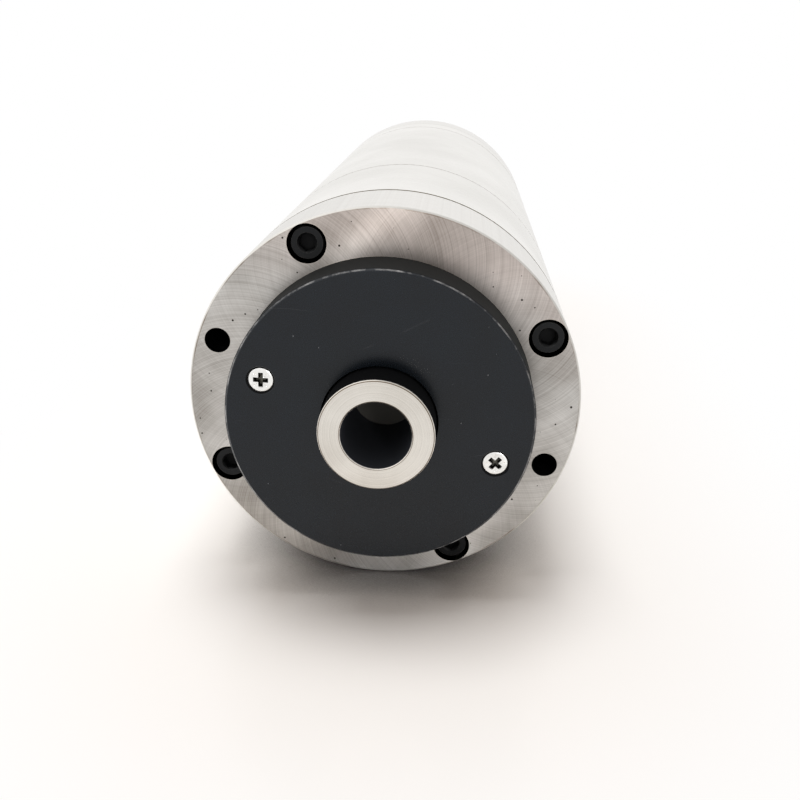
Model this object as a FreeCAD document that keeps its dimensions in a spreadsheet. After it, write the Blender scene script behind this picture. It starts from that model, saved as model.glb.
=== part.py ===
import FreeCAD, Part
import math
import os
import re
import Sketcher

# Grinding spindle motor, in millimetres. The spindle axis is Y, the nose points along -Y, +Z is up,
# and the origin is the centre of the front flange's ground face.

SIZES = {
    # Fits that every piece shares
    "slip_fit": 0.03,
    "run_gap": 0.5,
    "ball_gap": 0.05,
    "edge_break": 0.4,
    "seam_break": 0.25,
    # Body
    "tube_wall": 10,
    "tube_spigot_length": 6,
    "o_ring_d": 1.5,
    "o_ring_room": 0.4,
    # Cap screws that clamp the nose stack and the rear stack to the tube
    "cap_head_d": 8.5,
    "cap_head_height": 5,
    "cap_head_edge": 0.35,
    "cap_socket": 4,
    "cap_socket_mouth_d": 5,
    "cap_socket_depth": 2.6,
    "cap_shank_d": 5,
    "cap_edge_distance": 5.25,
    "cap_counterbore_d": 9.8,
    "cap_clearance_d": 5.5,
    "cap_sink": 1,
    "cap_grip": 13,
    "cap_hole_spare": 3,
    "cap_count": 4,
    "front_cap_angle": 24,
    "rear_cap_angle": 45,
    # Front flange
    "flange_length": 25.2,
    "flange_spigot_length": 5,
    "flange_recess_spare": 0.3,
    "jack_d": 6,
    "jack_mouth_d": 6.6,
    "jack_depth": 15,
    "jack_count": 2,
    # Nose cover, sunk a little into the flange, and its countersunk screws
    "cover_room": 1.85,
    "cover_reach": 12.5,
    "cover_sink": 1,
    "cover_edge": 0.6,
    "cover_groove_depth": 2,
    "cover_groove_width": 1.6,
    "cover_pilot_length": 4,
    "cover_screw_edge": 7.7,
    "cover_screw_inset": 3.3,
    "cover_screw_angle": 160.3,
    "cover_screw_count": 2,
    "csk_head_d": 6,
    "csk_mouth_d": 7.2,
    "csk_rim": 0.3,
    "csk_shank_d": 3,
    "csk_clearance_d": 3.4,
    "csk_grip": 5.5,
    "csk_hole_spare": 2.5,
    "cross_width": 3.7,
    "cross_slot": 0.9,
    "cross_depth": 1.3,
    "first_cross_turn": 28,
    "second_cross_turn": 65,
    # Spindle shaft
    "nose_step": 1,
    "nose_reach": 8.3,
    "nose_edge": 0.4,
    "pilot_d": 17,
    "pilot_depth": 27,
    "pilot_edge": 0.25,
    "draw_hole_d": 5,
    "draw_hole_depth": 18,
    "rotor_seat_step": 1,
    "rear_neck_step": 1.5,
    "rear_thread_step": 0.5,
    "shaft_tail": 1,
    "thread_runout": 1.2,
    # Front bearings, a pair of 30 x 55 x 13
    "front_bore_d": 30,
    "front_ring_wall": 4,
    "front_ball_room": 4.5,
    "front_width": 13,
    "front_ball_d": 7.144,
    "front_balls": 14,
    "front_relief": 1.2,
    "spacer_length": 10,
    "spacer_step": 1,
    # Rear bearing, one 25 x 47 x 12
    "rear_bore_d": 25,
    "rear_ring_wall": 3.5,
    "rear_ball_room": 4,
    "rear_width": 12,
    "rear_ball_d": 6.35,
    "rear_balls": 13,
    "rear_relief": 1,
    # Ball cages
    "cage_gap": 0.6,
    "cage_inset": 0.8,
    "cage_pocket_gap": 0.2,
    # Slinger ring and lock nuts
    "slinger_length": 9,
    "slinger_groove_depth": 1.5,
    "slinger_groove_width": 1.5,
    "slinger_grooves": 2,
    "slinger_hub_length": 1.5,
    "front_nut_length": 10,
    "front_nut_gap": 2.5,
    "rear_nut_length": 10,
    "rear_nut_gap": 2,
    "nut_slot_width": 5,
    "nut_slot_depth": 2,
    "nut_slots": 4,
    # Front bearing housing
    "front_housing_length": 52.8,
    "housing_lip_length": 6,
    "housing_spigot_wall": 8,
    # Cooling sleeve
    "sleeve_wall": 5,
    "channel_depth": 2.2,
    "channel_width": 8,
    "channel_margin": 12,
    "channel_count": 7,
    "header_width": 10,
    "header_count": 2,
    # Stator
    "core_length": 82,
    "core_back": 4,
    "stator_slots": 24,
    "slot_opening": 1.4,
    "slot_neck": 2.8,
    "slot_root": 5,
    "slot_depth": 9,
    "tooth_tip": 0.9,
    "slot_liner": 0.2,
    "coil_overhang": 14,
    "coil_clearance": 1.5,
    "coil_corner": 2,
    "coil_gap": 2,
    # Rotor
    "air_gap": 0.4,
    "rotor_bars": 22,
    "rotor_bar_root": 1.4,
    "rotor_bar_d": 4.5,
    "rotor_bar_cover": 0.7,
    "end_ring_length": 6,
    "end_ring_step": 0.4,
    "end_ring_gap": 1,
    "balance_length": 6,
    "balance_hole_d": 4,
    "balance_hole_depth": 4,
    "balance_holes": 12,
    # Rear bearing housing and its preloaded cartridge
    "rear_flange_length": 18,
    "hub_wall": 4,
    "hub_lip": 5,
    "hub_lip_length": 3,
    "spring_height": 3,
    "spring_thickness": 0.8,
    "cartridge_wall": 4.5,
    "cartridge_lip": 2.5,
    "cartridge_lip_length": 4,
    "cartridge_tail": 4,
    "cartridge_travel": 4,
    # Rear cover
    "rear_cover_length": 20,
    "rear_pilot_length": 4,
    "rear_pilot_wall": 4,
    "rear_wall": 6,
    # Water ports and hose nozzles
    "port_inset": 2,
    "port_count": 2,
    "port_thread_d": 9.7,
    "port_thread_length": 8,
    "port_hole_spare": 3,
    "port_passage_d": 6,
    "duct_inset": 3,
    "duct_d": 4,
    "washer_d": 14,
    "washer_thickness": 1.5,
    "nozzle_hex": 13,
    "nozzle_hex_height": 6,
    "nozzle_bore_d": 4,
    "barb_d": 8,
    "barb_root_d": 6.6,
    "barb_length": 5,
    "barb_count": 3,
    # Power receptacle
    "shell_bore_d": 14,
    "shell_wall": 1,
    "shell_thread_step": 1,
    "shell_reach": 12,
    "shell_flange_d": 27,
    "shell_flange_length": 3,
    "shell_barrel_length": 13,
    "shell_nut": 22,
    "shell_nut_length": 4,
    "insert_recess": 3,
    "insert_floor": 5,
    "pin_d": 2,
    "pin_pitch_d": 7,
    "pin_count": 4,
    "pin_reach": 2,
    "pin_tail": 3,
}

# Sizes that follow from those: the bearings and their seats first, then from the rotor seat out to the body
FOLLOWS = {
    "front_inner_land_d": "front_bore_d + 2 * front_ring_wall",
    "front_outer_land_d": "front_inner_land_d + 2 * front_ball_room",
    "front_outer_d": "front_outer_land_d + 2 * front_ring_wall",
    "front_pitch_d": "front_inner_land_d + front_ball_room",
    "rear_inner_land_d": "rear_bore_d + 2 * rear_ring_wall",
    "rear_outer_land_d": "rear_inner_land_d + 2 * rear_ball_room",
    "rear_outer_d": "rear_outer_land_d + 2 * rear_ring_wall",
    "rear_pitch_d": "rear_inner_land_d + rear_ball_room",
    "nose_d": "front_bore_d - 2 * nose_step",
    "collar_d": "front_inner_land_d",
    "flange_bore_d": "front_outer_land_d",
    "housing_lip_d": "front_outer_land_d + 2 * spacer_step",
    "front_nut_d": "flange_bore_d - 2 * front_nut_gap",
    "rear_nut_d": "rear_outer_land_d - 2 * rear_nut_gap",
    "rear_thread_d": "rear_bore_d - 2 * rear_thread_step",
    "rear_neck_d": "rear_bore_d + 2 * rear_neck_step",
    "rotor_seat_d": "rear_neck_d + 2 * rotor_seat_step",
    "cartridge_d": "rear_outer_d + 2 * cartridge_wall",
    "cartridge_lip_bore_d": "rear_outer_d - 2 * cartridge_lip",
    "hub_d": "cartridge_d + 2 * hub_wall",
    "hub_lip_bore_d": "cartridge_d - 2 * hub_lip",
    "rear_cavity_d": "cartridge_d - 2 * rear_pilot_wall",
    "rotor_d": "rotor_seat_d + 2 * (rotor_bar_root + rotor_bar_d + rotor_bar_cover)",
    "bar_pitch_d": "rotor_d - 2 * rotor_bar_cover - rotor_bar_d",
    "end_ring_d": "rotor_d - 2 * end_ring_step",
    "stator_bore_d": "rotor_d + 2 * air_gap",
    "sleeve_bore_d": "stator_bore_d + 2 * (slot_depth + core_back)",
    "coil_d": "sleeve_bore_d - 2 * coil_clearance",
    "tube_bore_d": "sleeve_bore_d + 2 * sleeve_wall",
    "housing_cavity_d": "tube_bore_d - 2 * housing_spigot_wall",
    "duct_pitch_d": "tube_bore_d - 2 * duct_inset",
    "port_pitch_d": "duct_pitch_d - 2 * port_inset",
    "body_d": "tube_bore_d + 2 * tube_wall",
    "cap_pitch_d": "body_d - 2 * cap_edge_distance",
    "cover_d": "cap_pitch_d - cap_counterbore_d - 2 * cover_room",
    "cover_hole_d": "nose_d + 2 * run_gap",
    "cover_groove_d": "cover_hole_d + 2 * cover_groove_depth",
    "cover_screw_pitch_d": "cover_d - 2 * cover_screw_edge",
    "cover_pilot_d": "cover_screw_pitch_d - 2 * cover_screw_inset",
    "jack_angle": "front_cap_angle + 3 * 180 / cap_count",
    "shell_barrel_d": "shell_bore_d + 2 * shell_wall",
    "shell_thread_d": "shell_barrel_d + 2 * shell_thread_step",
}

# Places along the spindle axis, each counted from the ground face of the front flange
NOSE_FACE = "-(cover_reach + nose_reach)"
FLANGE_BACK = "flange_length"
FIRST_BEARING = f"{FLANGE_BACK} + flange_spigot_length"
FRONT_SPACER = f"{FIRST_BEARING} + front_width"
SECOND_BEARING = f"{FRONT_SPACER} + spacer_length"
FRONT_SHOULDER = f"{SECOND_BEARING} + front_width"
SLINGER = f"{FIRST_BEARING} - slinger_length"
FRONT_NUT = f"{SLINGER} - front_nut_length"
TUBE_FRONT = f"{FLANGE_BACK} + front_housing_length"
COOLING_FRONT = f"{TUBE_FRONT} + tube_spigot_length"
CORE_FRONT = f"{COOLING_FRONT} + coil_gap + coil_overhang"
CORE_BACK = f"{CORE_FRONT} + core_length"
ROTOR_FRONT = f"{CORE_FRONT} - end_ring_length - balance_length"
ROTOR_BACK = f"{CORE_BACK} + end_ring_length + balance_length"
HUB_FRONT = f"{CORE_BACK} + coil_overhang + coil_gap"
SPRING = f"{HUB_FRONT} + hub_lip_length"
CARTRIDGE = f"{SPRING} + spring_height"
REAR_BEARING = f"{CARTRIDGE} + cartridge_lip_length"
REAR_NUT = f"{REAR_BEARING} + rear_width"
CARTRIDGE_BACK = f"{REAR_NUT} + cartridge_tail"
SHAFT_BACK = f"{REAR_NUT} + rear_nut_length + shaft_tail"
COVER_JOINT = f"{CARTRIDGE_BACK} + cartridge_travel + rear_pilot_length"
TUBE_BACK = f"{COVER_JOINT} - rear_flange_length"
COOLING_BACK = f"{TUBE_BACK} - tube_spigot_length"
REAR_FACE = f"{COVER_JOINT} + rear_cover_length"

doc = FreeCAD.newDocument("grinding_spindle_motor")
sheet = doc.addObject("Spreadsheet::Sheet", "Sizes")
for row, (alias, value) in enumerate(SIZES.items(), start=1):
    sheet.set(f"A{row}", alias)
    sheet.set(f"B{row}", str(value))
    sheet.setAlias(f"B{row}", alias)
doc.recompute()

# Any start will do for a sketched point, a diameter or an angle: the sheet then sets it
START = 1
ROUND_SPINDLE = FreeCAD.Vector(0, -1, 0)


def formula(text):
    """Write a sum of size names as an expression on the sheet."""
    def on_sheet(word):
        name = word[0]
        if name in FOLLOWS:
            return f"({formula(FOLLOWS[name])})"
        return f"Sizes.{name}" if name in SIZES else name

    return re.sub("[a-z_]+", on_sheet, text)


def bind(item, name, text):
    """Tie one property of an object to the sheet."""
    item.setExpression(name, formula(text))


def span(start, end):
    """The length from one place to another."""
    return f"({end}) - ({start})"


def new_body(label, place="0", angle=None):
    """Start a sub-part at a place along the spindle axis, turned about it by an angle."""
    body = doc.addObject("PartDesign::Body", label)
    body.Label = label
    if angle:
        body.Placement.Rotation = FreeCAD.Rotation(ROUND_SPINDLE, START)
        bind(body, ".Placement.Rotation.Angle", angle)
    bind(body, ".Placement.Base.y", place)
    return body


def origin_feature(body, role):
    """Find a plane or an axis of a body's own origin."""
    return next(item for item in body.Origin.OriginFeatures if item.Role == role)


def new_sketch(body, label, plane):
    """Start a sketch on a plane of the body's origin."""
    sketch = body.newObject("Sketcher::SketchObject", label)
    sketch.AttachmentSupport = (origin_feature(body, plane), [""])
    sketch.MapMode = "FlatFace"
    return sketch


def side_sketch(body, label, angle=None):
    """Start a sketch whose x is the radius and whose y runs along the spindle, at an angle about it."""
    sketch = new_sketch(body, label, "XY_Plane")
    if angle:
        turned = FreeCAD.Rotation(ROUND_SPINDLE, START)
        sketch.AttachmentOffset = FreeCAD.Placement(FreeCAD.Vector(0, 0, 0), turned)
        bind(sketch, ".AttachmentOffset.Rotation.Angle", angle)
    return sketch


def end_sketch(body, label, place="0", across="0", angle=None):
    """Start a sketch square to the spindle, at a place along it, seen from the nose."""
    sketch = new_sketch(body, label, "XZ_Plane")
    turned = FreeCAD.Rotation(FreeCAD.Vector(0, 0, 1), START if angle else 0)
    sketch.AttachmentOffset = FreeCAD.Placement(FreeCAD.Vector(0, 0, 0), turned)
    bind(sketch, ".AttachmentOffset.Base.z", f"-({place})")
    bind(sketch, ".AttachmentOffset.Base.x", across)
    if angle:
        bind(sketch, ".AttachmentOffset.Rotation.Angle", angle)
    return sketch


def tie_point(sketch, part, end, across, along):
    """Hold a point of the sketch at (across, along)."""
    for kind, text, axis in (("DistanceX", across, -2), ("DistanceY", along, -1)):
        if text == "0":
            sketch.addConstraint(Sketcher.Constraint("PointOnObject", part, end, axis))
        else:
            tie = sketch.addConstraint(Sketcher.Constraint(kind, -1, 1, part, end, float(START)))
            bind(sketch, f"Constraints[{tie}]", text)


def draw_outline(sketch, corners):
    """Draw a closed outline through corners, each an (across, along) pair of formulas."""
    count = len(corners)
    turns = [2 * math.pi * index / count for index in range(count)]
    points = [FreeCAD.Vector(START + math.cos(turn), START + math.sin(turn), 0) for turn in turns]
    sides = [Part.LineSegment(points[index], points[(index + 1) % count]) for index in range(count)]
    sketch.addGeometry(sides, False)
    for index in range(count):
        sketch.addConstraint(Sketcher.Constraint("Coincident", index, 2, (index + 1) % count, 1))
    for index, (across, along) in enumerate(corners):
        tie_point(sketch, index, 1, across, along)


def draw_circle(sketch, across, along, diameter):
    """Draw a circle at a centre."""
    start = Part.Circle(FreeCAD.Vector(START, START, 0), FreeCAD.Vector(0, 0, 1), START)
    circle = sketch.addGeometry(start, False)
    tie_point(sketch, circle, 3, across, along)
    tie = sketch.addConstraint(Sketcher.Constraint("Diameter", circle, 2.0 * START))
    bind(sketch, f"Constraints[{tie}]", diameter)


def revolve(body, sketch, axis, cut):
    """Turn a sketch about an axis, adding or cutting."""
    kind = "Groove" if cut else "Revolution"
    feature = body.newObject("PartDesign::" + kind, sketch.Label + "_turned")
    feature.Profile = sketch
    feature.ReferenceAxis = (sketch, [axis])
    feature.Angle = 360
    return feature


def turn(body, label, corners, cut=False):
    """Turn an outline of (radius, along) corners about the spindle axis."""
    sketch = side_sketch(body, label)
    draw_outline(sketch, corners)
    return revolve(body, sketch, "V_Axis", cut)


def turn_aside(body, label, offset, corners, cut=False, angle=None):
    """Turn an outline about its own axis, parallel to the spindle; its first and last corners lie on it."""
    sketch = side_sketch(body, label, angle)
    draw_outline(sketch, [(f"{offset} + {radius}", along) for radius, along in corners])
    ends = FreeCAD.Vector(START, 0, 0), FreeCAD.Vector(START, START, 0)
    axis = sketch.addGeometry(Part.LineSegment(*ends), True)
    sketch.addConstraint(Sketcher.Constraint("Coincident", axis, 1, 0, 1))
    sketch.addConstraint(Sketcher.Constraint("Coincident", axis, 2, len(corners) - 1, 1))
    return revolve(body, sketch, "Axis0", cut)


def extrude(body, sketch, length, cut, backwards=False):
    """Pad or pocket a sketch square to the spindle towards the rear, or towards the nose if backwards."""
    kind = "Pocket" if cut else "Pad"
    feature = body.newObject("PartDesign::" + kind, f"{sketch.Label}_{kind.lower()}")
    feature.Profile = sketch
    feature.Reversed = backwards if cut else not backwards
    feature.Type = "Length"
    bind(feature, "Length", length)
    return feature


def repeat(body, label, features, count):
    """Repeat features evenly round the spindle axis."""
    pattern = body.newObject("PartDesign::PolarPattern", label)
    pattern.Originals = features
    pattern.Axis = (origin_feature(body, "Y_Axis"), [""])
    pattern.Angle = 360
    bind(pattern, "Occurrences", count)
    body.Tip = pattern


def bore_round(body, label, pitch, steps, count, angle=None):
    """Drill stepped round holes along the spindle on a pitch circle; steps are (radius, along) corners."""
    hole = turn_aside(body, label, f"{pitch} / 2", steps, cut=True, angle=angle)
    repeat(body, label + "_ring", [hole], count)


def ring(label, place, inner, outer, length, edge="edge_break"):
    """Make a plain ring with broken outer edges."""
    body = new_body(label, place)
    turn(body, "section", [
        (f"{inner} / 2", "0"),
        (f"{outer} / 2 - {edge}", "0"),
        (f"{outer} / 2", edge),
        (f"{outer} / 2", f"{length} - {edge}"),
        (f"{outer} / 2 - {edge}", length),
        (f"{inner} / 2", length),
    ])
    return body


# Screws

def cap_hole(along_start, along_end, depth, sense=""):
    """Corners of a counterbored clearance hole that opens at along_start."""
    seat = f"{along_start} + {sense}({depth})"
    return [
        ("0", along_start),
        ("cap_counterbore_d / 2", along_start),
        ("cap_counterbore_d / 2", seat),
        ("cap_clearance_d / 2", seat),
        ("cap_clearance_d / 2", along_end),
        ("0", along_end),
    ]


def cap_screws(label, place, length, angle, sense):
    """Make a set of socket head cap screws; sense is + for heads at the nose end and - for the rear end."""
    body = new_body(label, place, angle)
    top = f"{sense}(cap_sink)"
    seat = f"{sense}(cap_sink + cap_head_height)"
    tip = f"{sense}(cap_sink + cap_head_height + {length})"
    screw = turn_aside(body, "screw", "cap_pitch_d / 2", [
        ("0", top),
        ("cap_head_d / 2 - cap_head_edge", top),
        ("cap_head_d / 2", f"{sense}(cap_sink + cap_head_edge)"),
        ("cap_head_d / 2", seat),
        ("cap_shank_d / 2", seat),
        ("cap_shank_d / 2", f"{tip} - {sense}(cap_head_edge)"),
        ("cap_shank_d / 2 - cap_head_edge", tip),
        ("0", tip),
    ])
    mouth = turn_aside(body, "socket_mouth", "cap_pitch_d / 2", [
        ("0", top),
        ("cap_socket_mouth_d / 2", top),
        ("0", f"{sense}(cap_sink + cap_socket_mouth_d / 4)"),
    ], cut=True)
    hexagon = end_sketch(body, "socket", top, "cap_pitch_d / 2")
    draw_hexagon(hexagon, "cap_socket")
    socket = extrude(body, hexagon, "cap_socket_depth", cut=True, backwards=sense == "-")
    repeat(body, "screws", [screw, mouth, socket], "cap_count")


def draw_hexagon(sketch, across_flats):
    """Draw a hexagon about the sketch's own centre."""
    corner = f"{across_flats} / sqrt(3)"
    half = f"{across_flats} / 2"
    draw_outline(sketch, [
        (corner, "0"),
        (f"{corner} / 2", half),
        (f"-{corner} / 2", half),
        (f"-{corner}", "0"),
        (f"-{corner} / 2", f"-{half}"),
        (f"{corner} / 2", f"-{half}"),
    ])


def draw_cross(sketch):
    """Draw the four wings of a cross recess about the sketch's own centre."""
    wing = "cross_width / 2"
    slot = "cross_slot / 2"
    quarter = [(wing, f"-{slot}"), (wing, slot), (slot, slot)]
    half = quarter + [(slot, wing), (f"-{slot}", wing), (f"-{slot}", slot)]
    draw_outline(sketch, half + [
        (f"-{wing}", slot),
        (f"-{wing}", f"-{slot}"),
        (f"-{slot}", f"-{slot}"),
        (f"-{slot}", f"-{wing}"),
        (slot, f"-{wing}"),
        (slot, f"-{slot}"),
    ])


# Nose end: flange, cover and their screws

COUNTERBORE_DEPTH = "cap_sink + cap_head_height"
FRONT_SCREW_LENGTH = f"({TUBE_FRONT}) - ({COUNTERBORE_DEPTH}) + cap_grip"
REAR_SCREW_LENGTH = f"({span(TUBE_BACK, REAR_FACE)}) - ({COUNTERBORE_DEPTH}) + cap_grip"


def make_front_flange():
    """The ground flange: it clamps the first bearing and carries the cover and the machine's jack holes."""
    body = new_body("front_flange")
    spigot_end = f"{FLANGE_BACK} + flange_spigot_length"
    recess_end = "cover_sink + cover_pilot_length + flange_recess_spare"
    turn(body, "section", [
        ("cover_pilot_d / 2 + slip_fit", "cover_sink"),
        ("cover_d / 2 + slip_fit", "cover_sink"),
        ("cover_d / 2 + slip_fit", "0"),
        ("body_d / 2 - edge_break", "0"),
        ("body_d / 2", "edge_break"),
        ("body_d / 2", f"{FLANGE_BACK} - seam_break"),
        ("body_d / 2 - seam_break", FLANGE_BACK),
        ("front_outer_d / 2 - slip_fit", FLANGE_BACK),
        ("front_outer_d / 2 - slip_fit", spigot_end),
        ("flange_bore_d / 2", spigot_end),
        ("flange_bore_d / 2", recess_end),
        ("cover_pilot_d / 2 + slip_fit", recess_end),
    ])
    bore_round(body, "cap_hole", "cap_pitch_d", cap_hole("0", FLANGE_BACK, COUNTERBORE_DEPTH),
               "cap_count", "front_cap_angle")
    bore_round(body, "jack_hole", "cap_pitch_d", [
        ("0", "0"),
        ("jack_mouth_d / 2", "0"),
        ("jack_d / 2", "(jack_mouth_d - jack_d) / 2"),
        ("jack_d / 2", "jack_depth"),
        ("0", "jack_depth + jack_d / 4"),
    ], "jack_count", "jack_angle")
    tapping = "cover_sink + csk_grip + csk_hole_spare"
    bore_round(body, "cover_tapping", "cover_screw_pitch_d", [
        ("0", "0"),
        ("csk_shank_d / 2 + slip_fit", "0"),
        ("csk_shank_d / 2 + slip_fit", tapping),
        ("0", f"{tapping} + csk_shank_d / 4"),
    ], "cover_screw_count", "cover_screw_angle")


def make_nose_cover():
    """The black cover round the nose, with two labyrinth grooves in its hole."""
    body = new_body("nose_cover", "-cover_reach")
    back = "cover_reach + cover_sink"
    pilot_end = f"{back} + cover_pilot_length"
    turn(body, "section", [
        ("cover_hole_d / 2", "0"),
        ("cover_d / 2 - cover_edge", "0"),
        ("cover_d / 2", "cover_edge"),
        ("cover_d / 2", back),
        ("cover_pilot_d / 2", back),
        ("cover_pilot_d / 2", pilot_end),
        ("cover_hole_d / 2", pilot_end),
    ])
    for label, third in (("first_groove", 1), ("second_groove", 2)):
        start = f"({pilot_end}) * {third} / 3"
        turn(body, label, [
            ("cover_hole_d / 2 - run_gap", start),
            ("cover_groove_d / 2", start),
            ("cover_groove_d / 2", f"{start} + cover_groove_width"),
            ("cover_hole_d / 2 - run_gap", f"{start} + cover_groove_width"),
        ], cut=True)
    bore_round(body, "countersink", "cover_screw_pitch_d", [
        ("0", "0"),
        ("csk_mouth_d / 2", "0"),
        ("csk_clearance_d / 2", "(csk_mouth_d - csk_clearance_d) / 2"),
        ("csk_clearance_d / 2", back),
        ("0", back),
    ], "cover_screw_count", "cover_screw_angle")


def make_cover_screws():
    """The two countersunk cross-recess screws of the cover, each left at its own turn."""
    body = new_body("cover_screws", "-cover_reach", "cover_screw_angle")
    top = "(csk_mouth_d - csk_head_d) / 2 - csk_rim - slip_fit"
    neck = f"{top} + csk_rim + (csk_head_d - csk_shank_d) / 2"
    tip = "cover_reach + cover_sink + csk_grip"
    screw = turn_aside(body, "screw", "cover_screw_pitch_d / 2", [
        ("0", top),
        ("csk_head_d / 2", top),
        ("csk_head_d / 2", f"{top} + csk_rim"),
        ("csk_shank_d / 2", neck),
        ("csk_shank_d / 2", tip),
        ("0", tip),
    ])
    repeat(body, "screws", [screw], "cover_screw_count")
    sides = ("cover_screw_pitch_d / 2", "first_cross_turn"), ("-cover_screw_pitch_d / 2", "second_cross_turn")
    for across, turned in sides:
        sketch = end_sketch(body, "cross", top, across, turned)
        draw_cross(sketch)
        body.Tip = extrude(body, sketch, "cross_depth", cut=True)


# Bearings

def make_bearing(label, size, place, mirrored):
    """Make the rings, cage and balls of one angular contact bearing; mirrored turns its open side round."""
    width = f"{size}_width"
    pitch = f"{size}_pitch_d / 2"
    race_d = f"{size}_ball_d + 2 * ball_gap"
    relief = f"{size}_relief"
    side = [width, "0"] if mirrored else ["0", width]

    outer = new_body(f"{label}_outer_ring", place)
    outer_r = f"{size}_outer_d / 2 - slip_fit"
    land_r = f"{size}_outer_land_d / 2"
    turn(outer, "section", [
        (f"{land_r} + {relief}", side[0]),
        (outer_r, side[0]),
        (outer_r, side[1]),
        (land_r, side[1]),
        (land_r, f"{width} / 2"),
    ])
    race = side_sketch(outer, "race")
    draw_circle(race, pitch, f"{width} / 2", race_d)
    revolve(outer, race, "V_Axis", cut=True)

    inner = new_body(f"{label}_inner_ring", place)
    inner_r = f"{size}_bore_d / 2 + slip_fit"
    land_r = f"{size}_inner_land_d / 2"
    turn(inner, "section", [
        (inner_r, side[0]),
        (land_r, side[0]),
        (land_r, f"{width} / 2"),
        (f"{land_r} - {relief} / 2", side[1]),
        (inner_r, side[1]),
    ])
    race = side_sketch(inner, "race")
    draw_circle(race, pitch, f"{width} / 2", race_d)
    revolve(inner, race, "V_Axis", cut=True)

    cage = ring(f"{label}_cage", f"{place} + cage_inset", f"({size}_inner_land_d + 2 * cage_gap)",
                f"({size}_outer_land_d - 2 * cage_gap)", f"({width} - 2 * cage_inset)", "seam_break")
    window = new_sketch(cage, "window", "YZ_Plane")
    draw_circle(window, f"({width} - 2 * cage_inset) / 2", "0", f"{size}_ball_d + 2 * cage_pocket_gap")
    pocket = cage.newObject("PartDesign::Pocket", "window_cut")
    pocket.Profile = window
    pocket.Reversed = True
    pocket.Type = "Length"
    bind(pocket, "Length", f"{size}_outer_land_d / 2")
    repeat(cage, "windows", [pocket], f"{size}_balls")

    balls = new_body(f"{label}_balls", place)
    ball = balls.newObject("PartDesign::AdditiveSphere", "ball")
    ball.AttachmentSupport = (origin_feature(balls, "XY_Plane"), [""])
    ball.MapMode = "FlatFace"
    bind(ball, ".AttachmentOffset.Base.x", pitch)
    bind(ball, ".AttachmentOffset.Base.y", f"{width} / 2")
    bind(ball, "Radius", f"{size}_ball_d / 2")
    repeat(balls, "ball_ring", [ball], f"{size}_balls")


def make_spacers():
    """The two spacers that hold the front bearings apart."""
    ring("outer_spacer", FRONT_SPACER, "(front_outer_land_d + 2 * spacer_step)",
         "(front_outer_d - 2 * slip_fit)", "spacer_length")
    ring("inner_spacer", FRONT_SPACER, "(front_bore_d + 2 * slip_fit)",
         "(front_inner_land_d - spacer_step)", "spacer_length")


# Shaft and what turns with it

def make_shaft():
    """The spindle shaft: tool bore, bearing seats, collar, rotor seat and rear thread."""
    body = new_body("spindle_shaft", NOSE_FACE)

    def from_nose(place):
        return span(NOSE_FACE, place)

    thread_start = from_nose(f"{FRONT_NUT} - thread_runout")
    end = from_nose(SHAFT_BACK)
    turn(body, "section", [
        ("0", "0"),
        ("nose_d / 2 - nose_edge", "0"),
        ("nose_d / 2", "nose_edge"),
        ("nose_d / 2", thread_start),
        ("front_bore_d / 2", thread_start),
        ("front_bore_d / 2", from_nose(FRONT_SHOULDER)),
        ("collar_d / 2", from_nose(FRONT_SHOULDER)),
        ("collar_d / 2", from_nose(ROTOR_FRONT)),
        ("rotor_seat_d / 2", from_nose(ROTOR_FRONT)),
        ("rotor_seat_d / 2", from_nose(ROTOR_BACK)),
        ("rear_neck_d / 2", from_nose(ROTOR_BACK)),
        ("rear_neck_d / 2", from_nose(REAR_BEARING)),
        ("rear_bore_d / 2", from_nose(REAR_BEARING)),
        ("rear_bore_d / 2", from_nose(REAR_NUT)),
        ("rear_thread_d / 2", from_nose(REAR_NUT)),
        ("rear_thread_d / 2", f"{end} - shaft_tail / 2"),
        ("rear_thread_d / 2 - shaft_tail / 2", end),
        ("0", end),
    ])
    turn(body, "tool_bore", [
        ("0", "0"),
        ("pilot_d / 2 + pilot_edge", "0"),
        ("pilot_d / 2", "pilot_edge"),
        ("pilot_d / 2", "pilot_depth"),
        ("draw_hole_d / 2", "pilot_depth"),
        ("draw_hole_d / 2", "pilot_depth + draw_hole_depth"),
        ("0", "pilot_depth + draw_hole_depth + draw_hole_d / 4"),
    ], cut=True)


def make_slinger():
    """The slinger ring ahead of the first bearing, grooved as a labyrinth."""
    body = new_body("slinger_ring", SLINGER)
    outer = "flange_bore_d / 2 - run_gap"
    hub = "slinger_length - slinger_hub_length"
    turn(body, "section", [
        ("front_bore_d / 2 + slip_fit", "0"),
        (outer, "0"),
        (outer, hub),
        ("front_inner_land_d / 2", hub),
        ("front_inner_land_d / 2", "slinger_length"),
        ("front_bore_d / 2 + slip_fit", "slinger_length"),
    ])
    groove = turn(body, "groove", [
        (f"{outer} - slinger_groove_depth", "slinger_groove_width"),
        (f"{outer} + run_gap", "slinger_groove_width"),
        (f"{outer} + run_gap", "2 * slinger_groove_width"),
        (f"{outer} - slinger_groove_depth", "2 * slinger_groove_width"),
    ], cut=True)
    row = body.newObject("PartDesign::LinearPattern", "grooves")
    row.Originals = [groove]
    row.Direction = (origin_feature(body, "Y_Axis"), [""])
    bind(row, "Length", "2 * slinger_groove_width")
    bind(row, "Occurrences", "slinger_grooves")
    body.Tip = row


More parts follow.
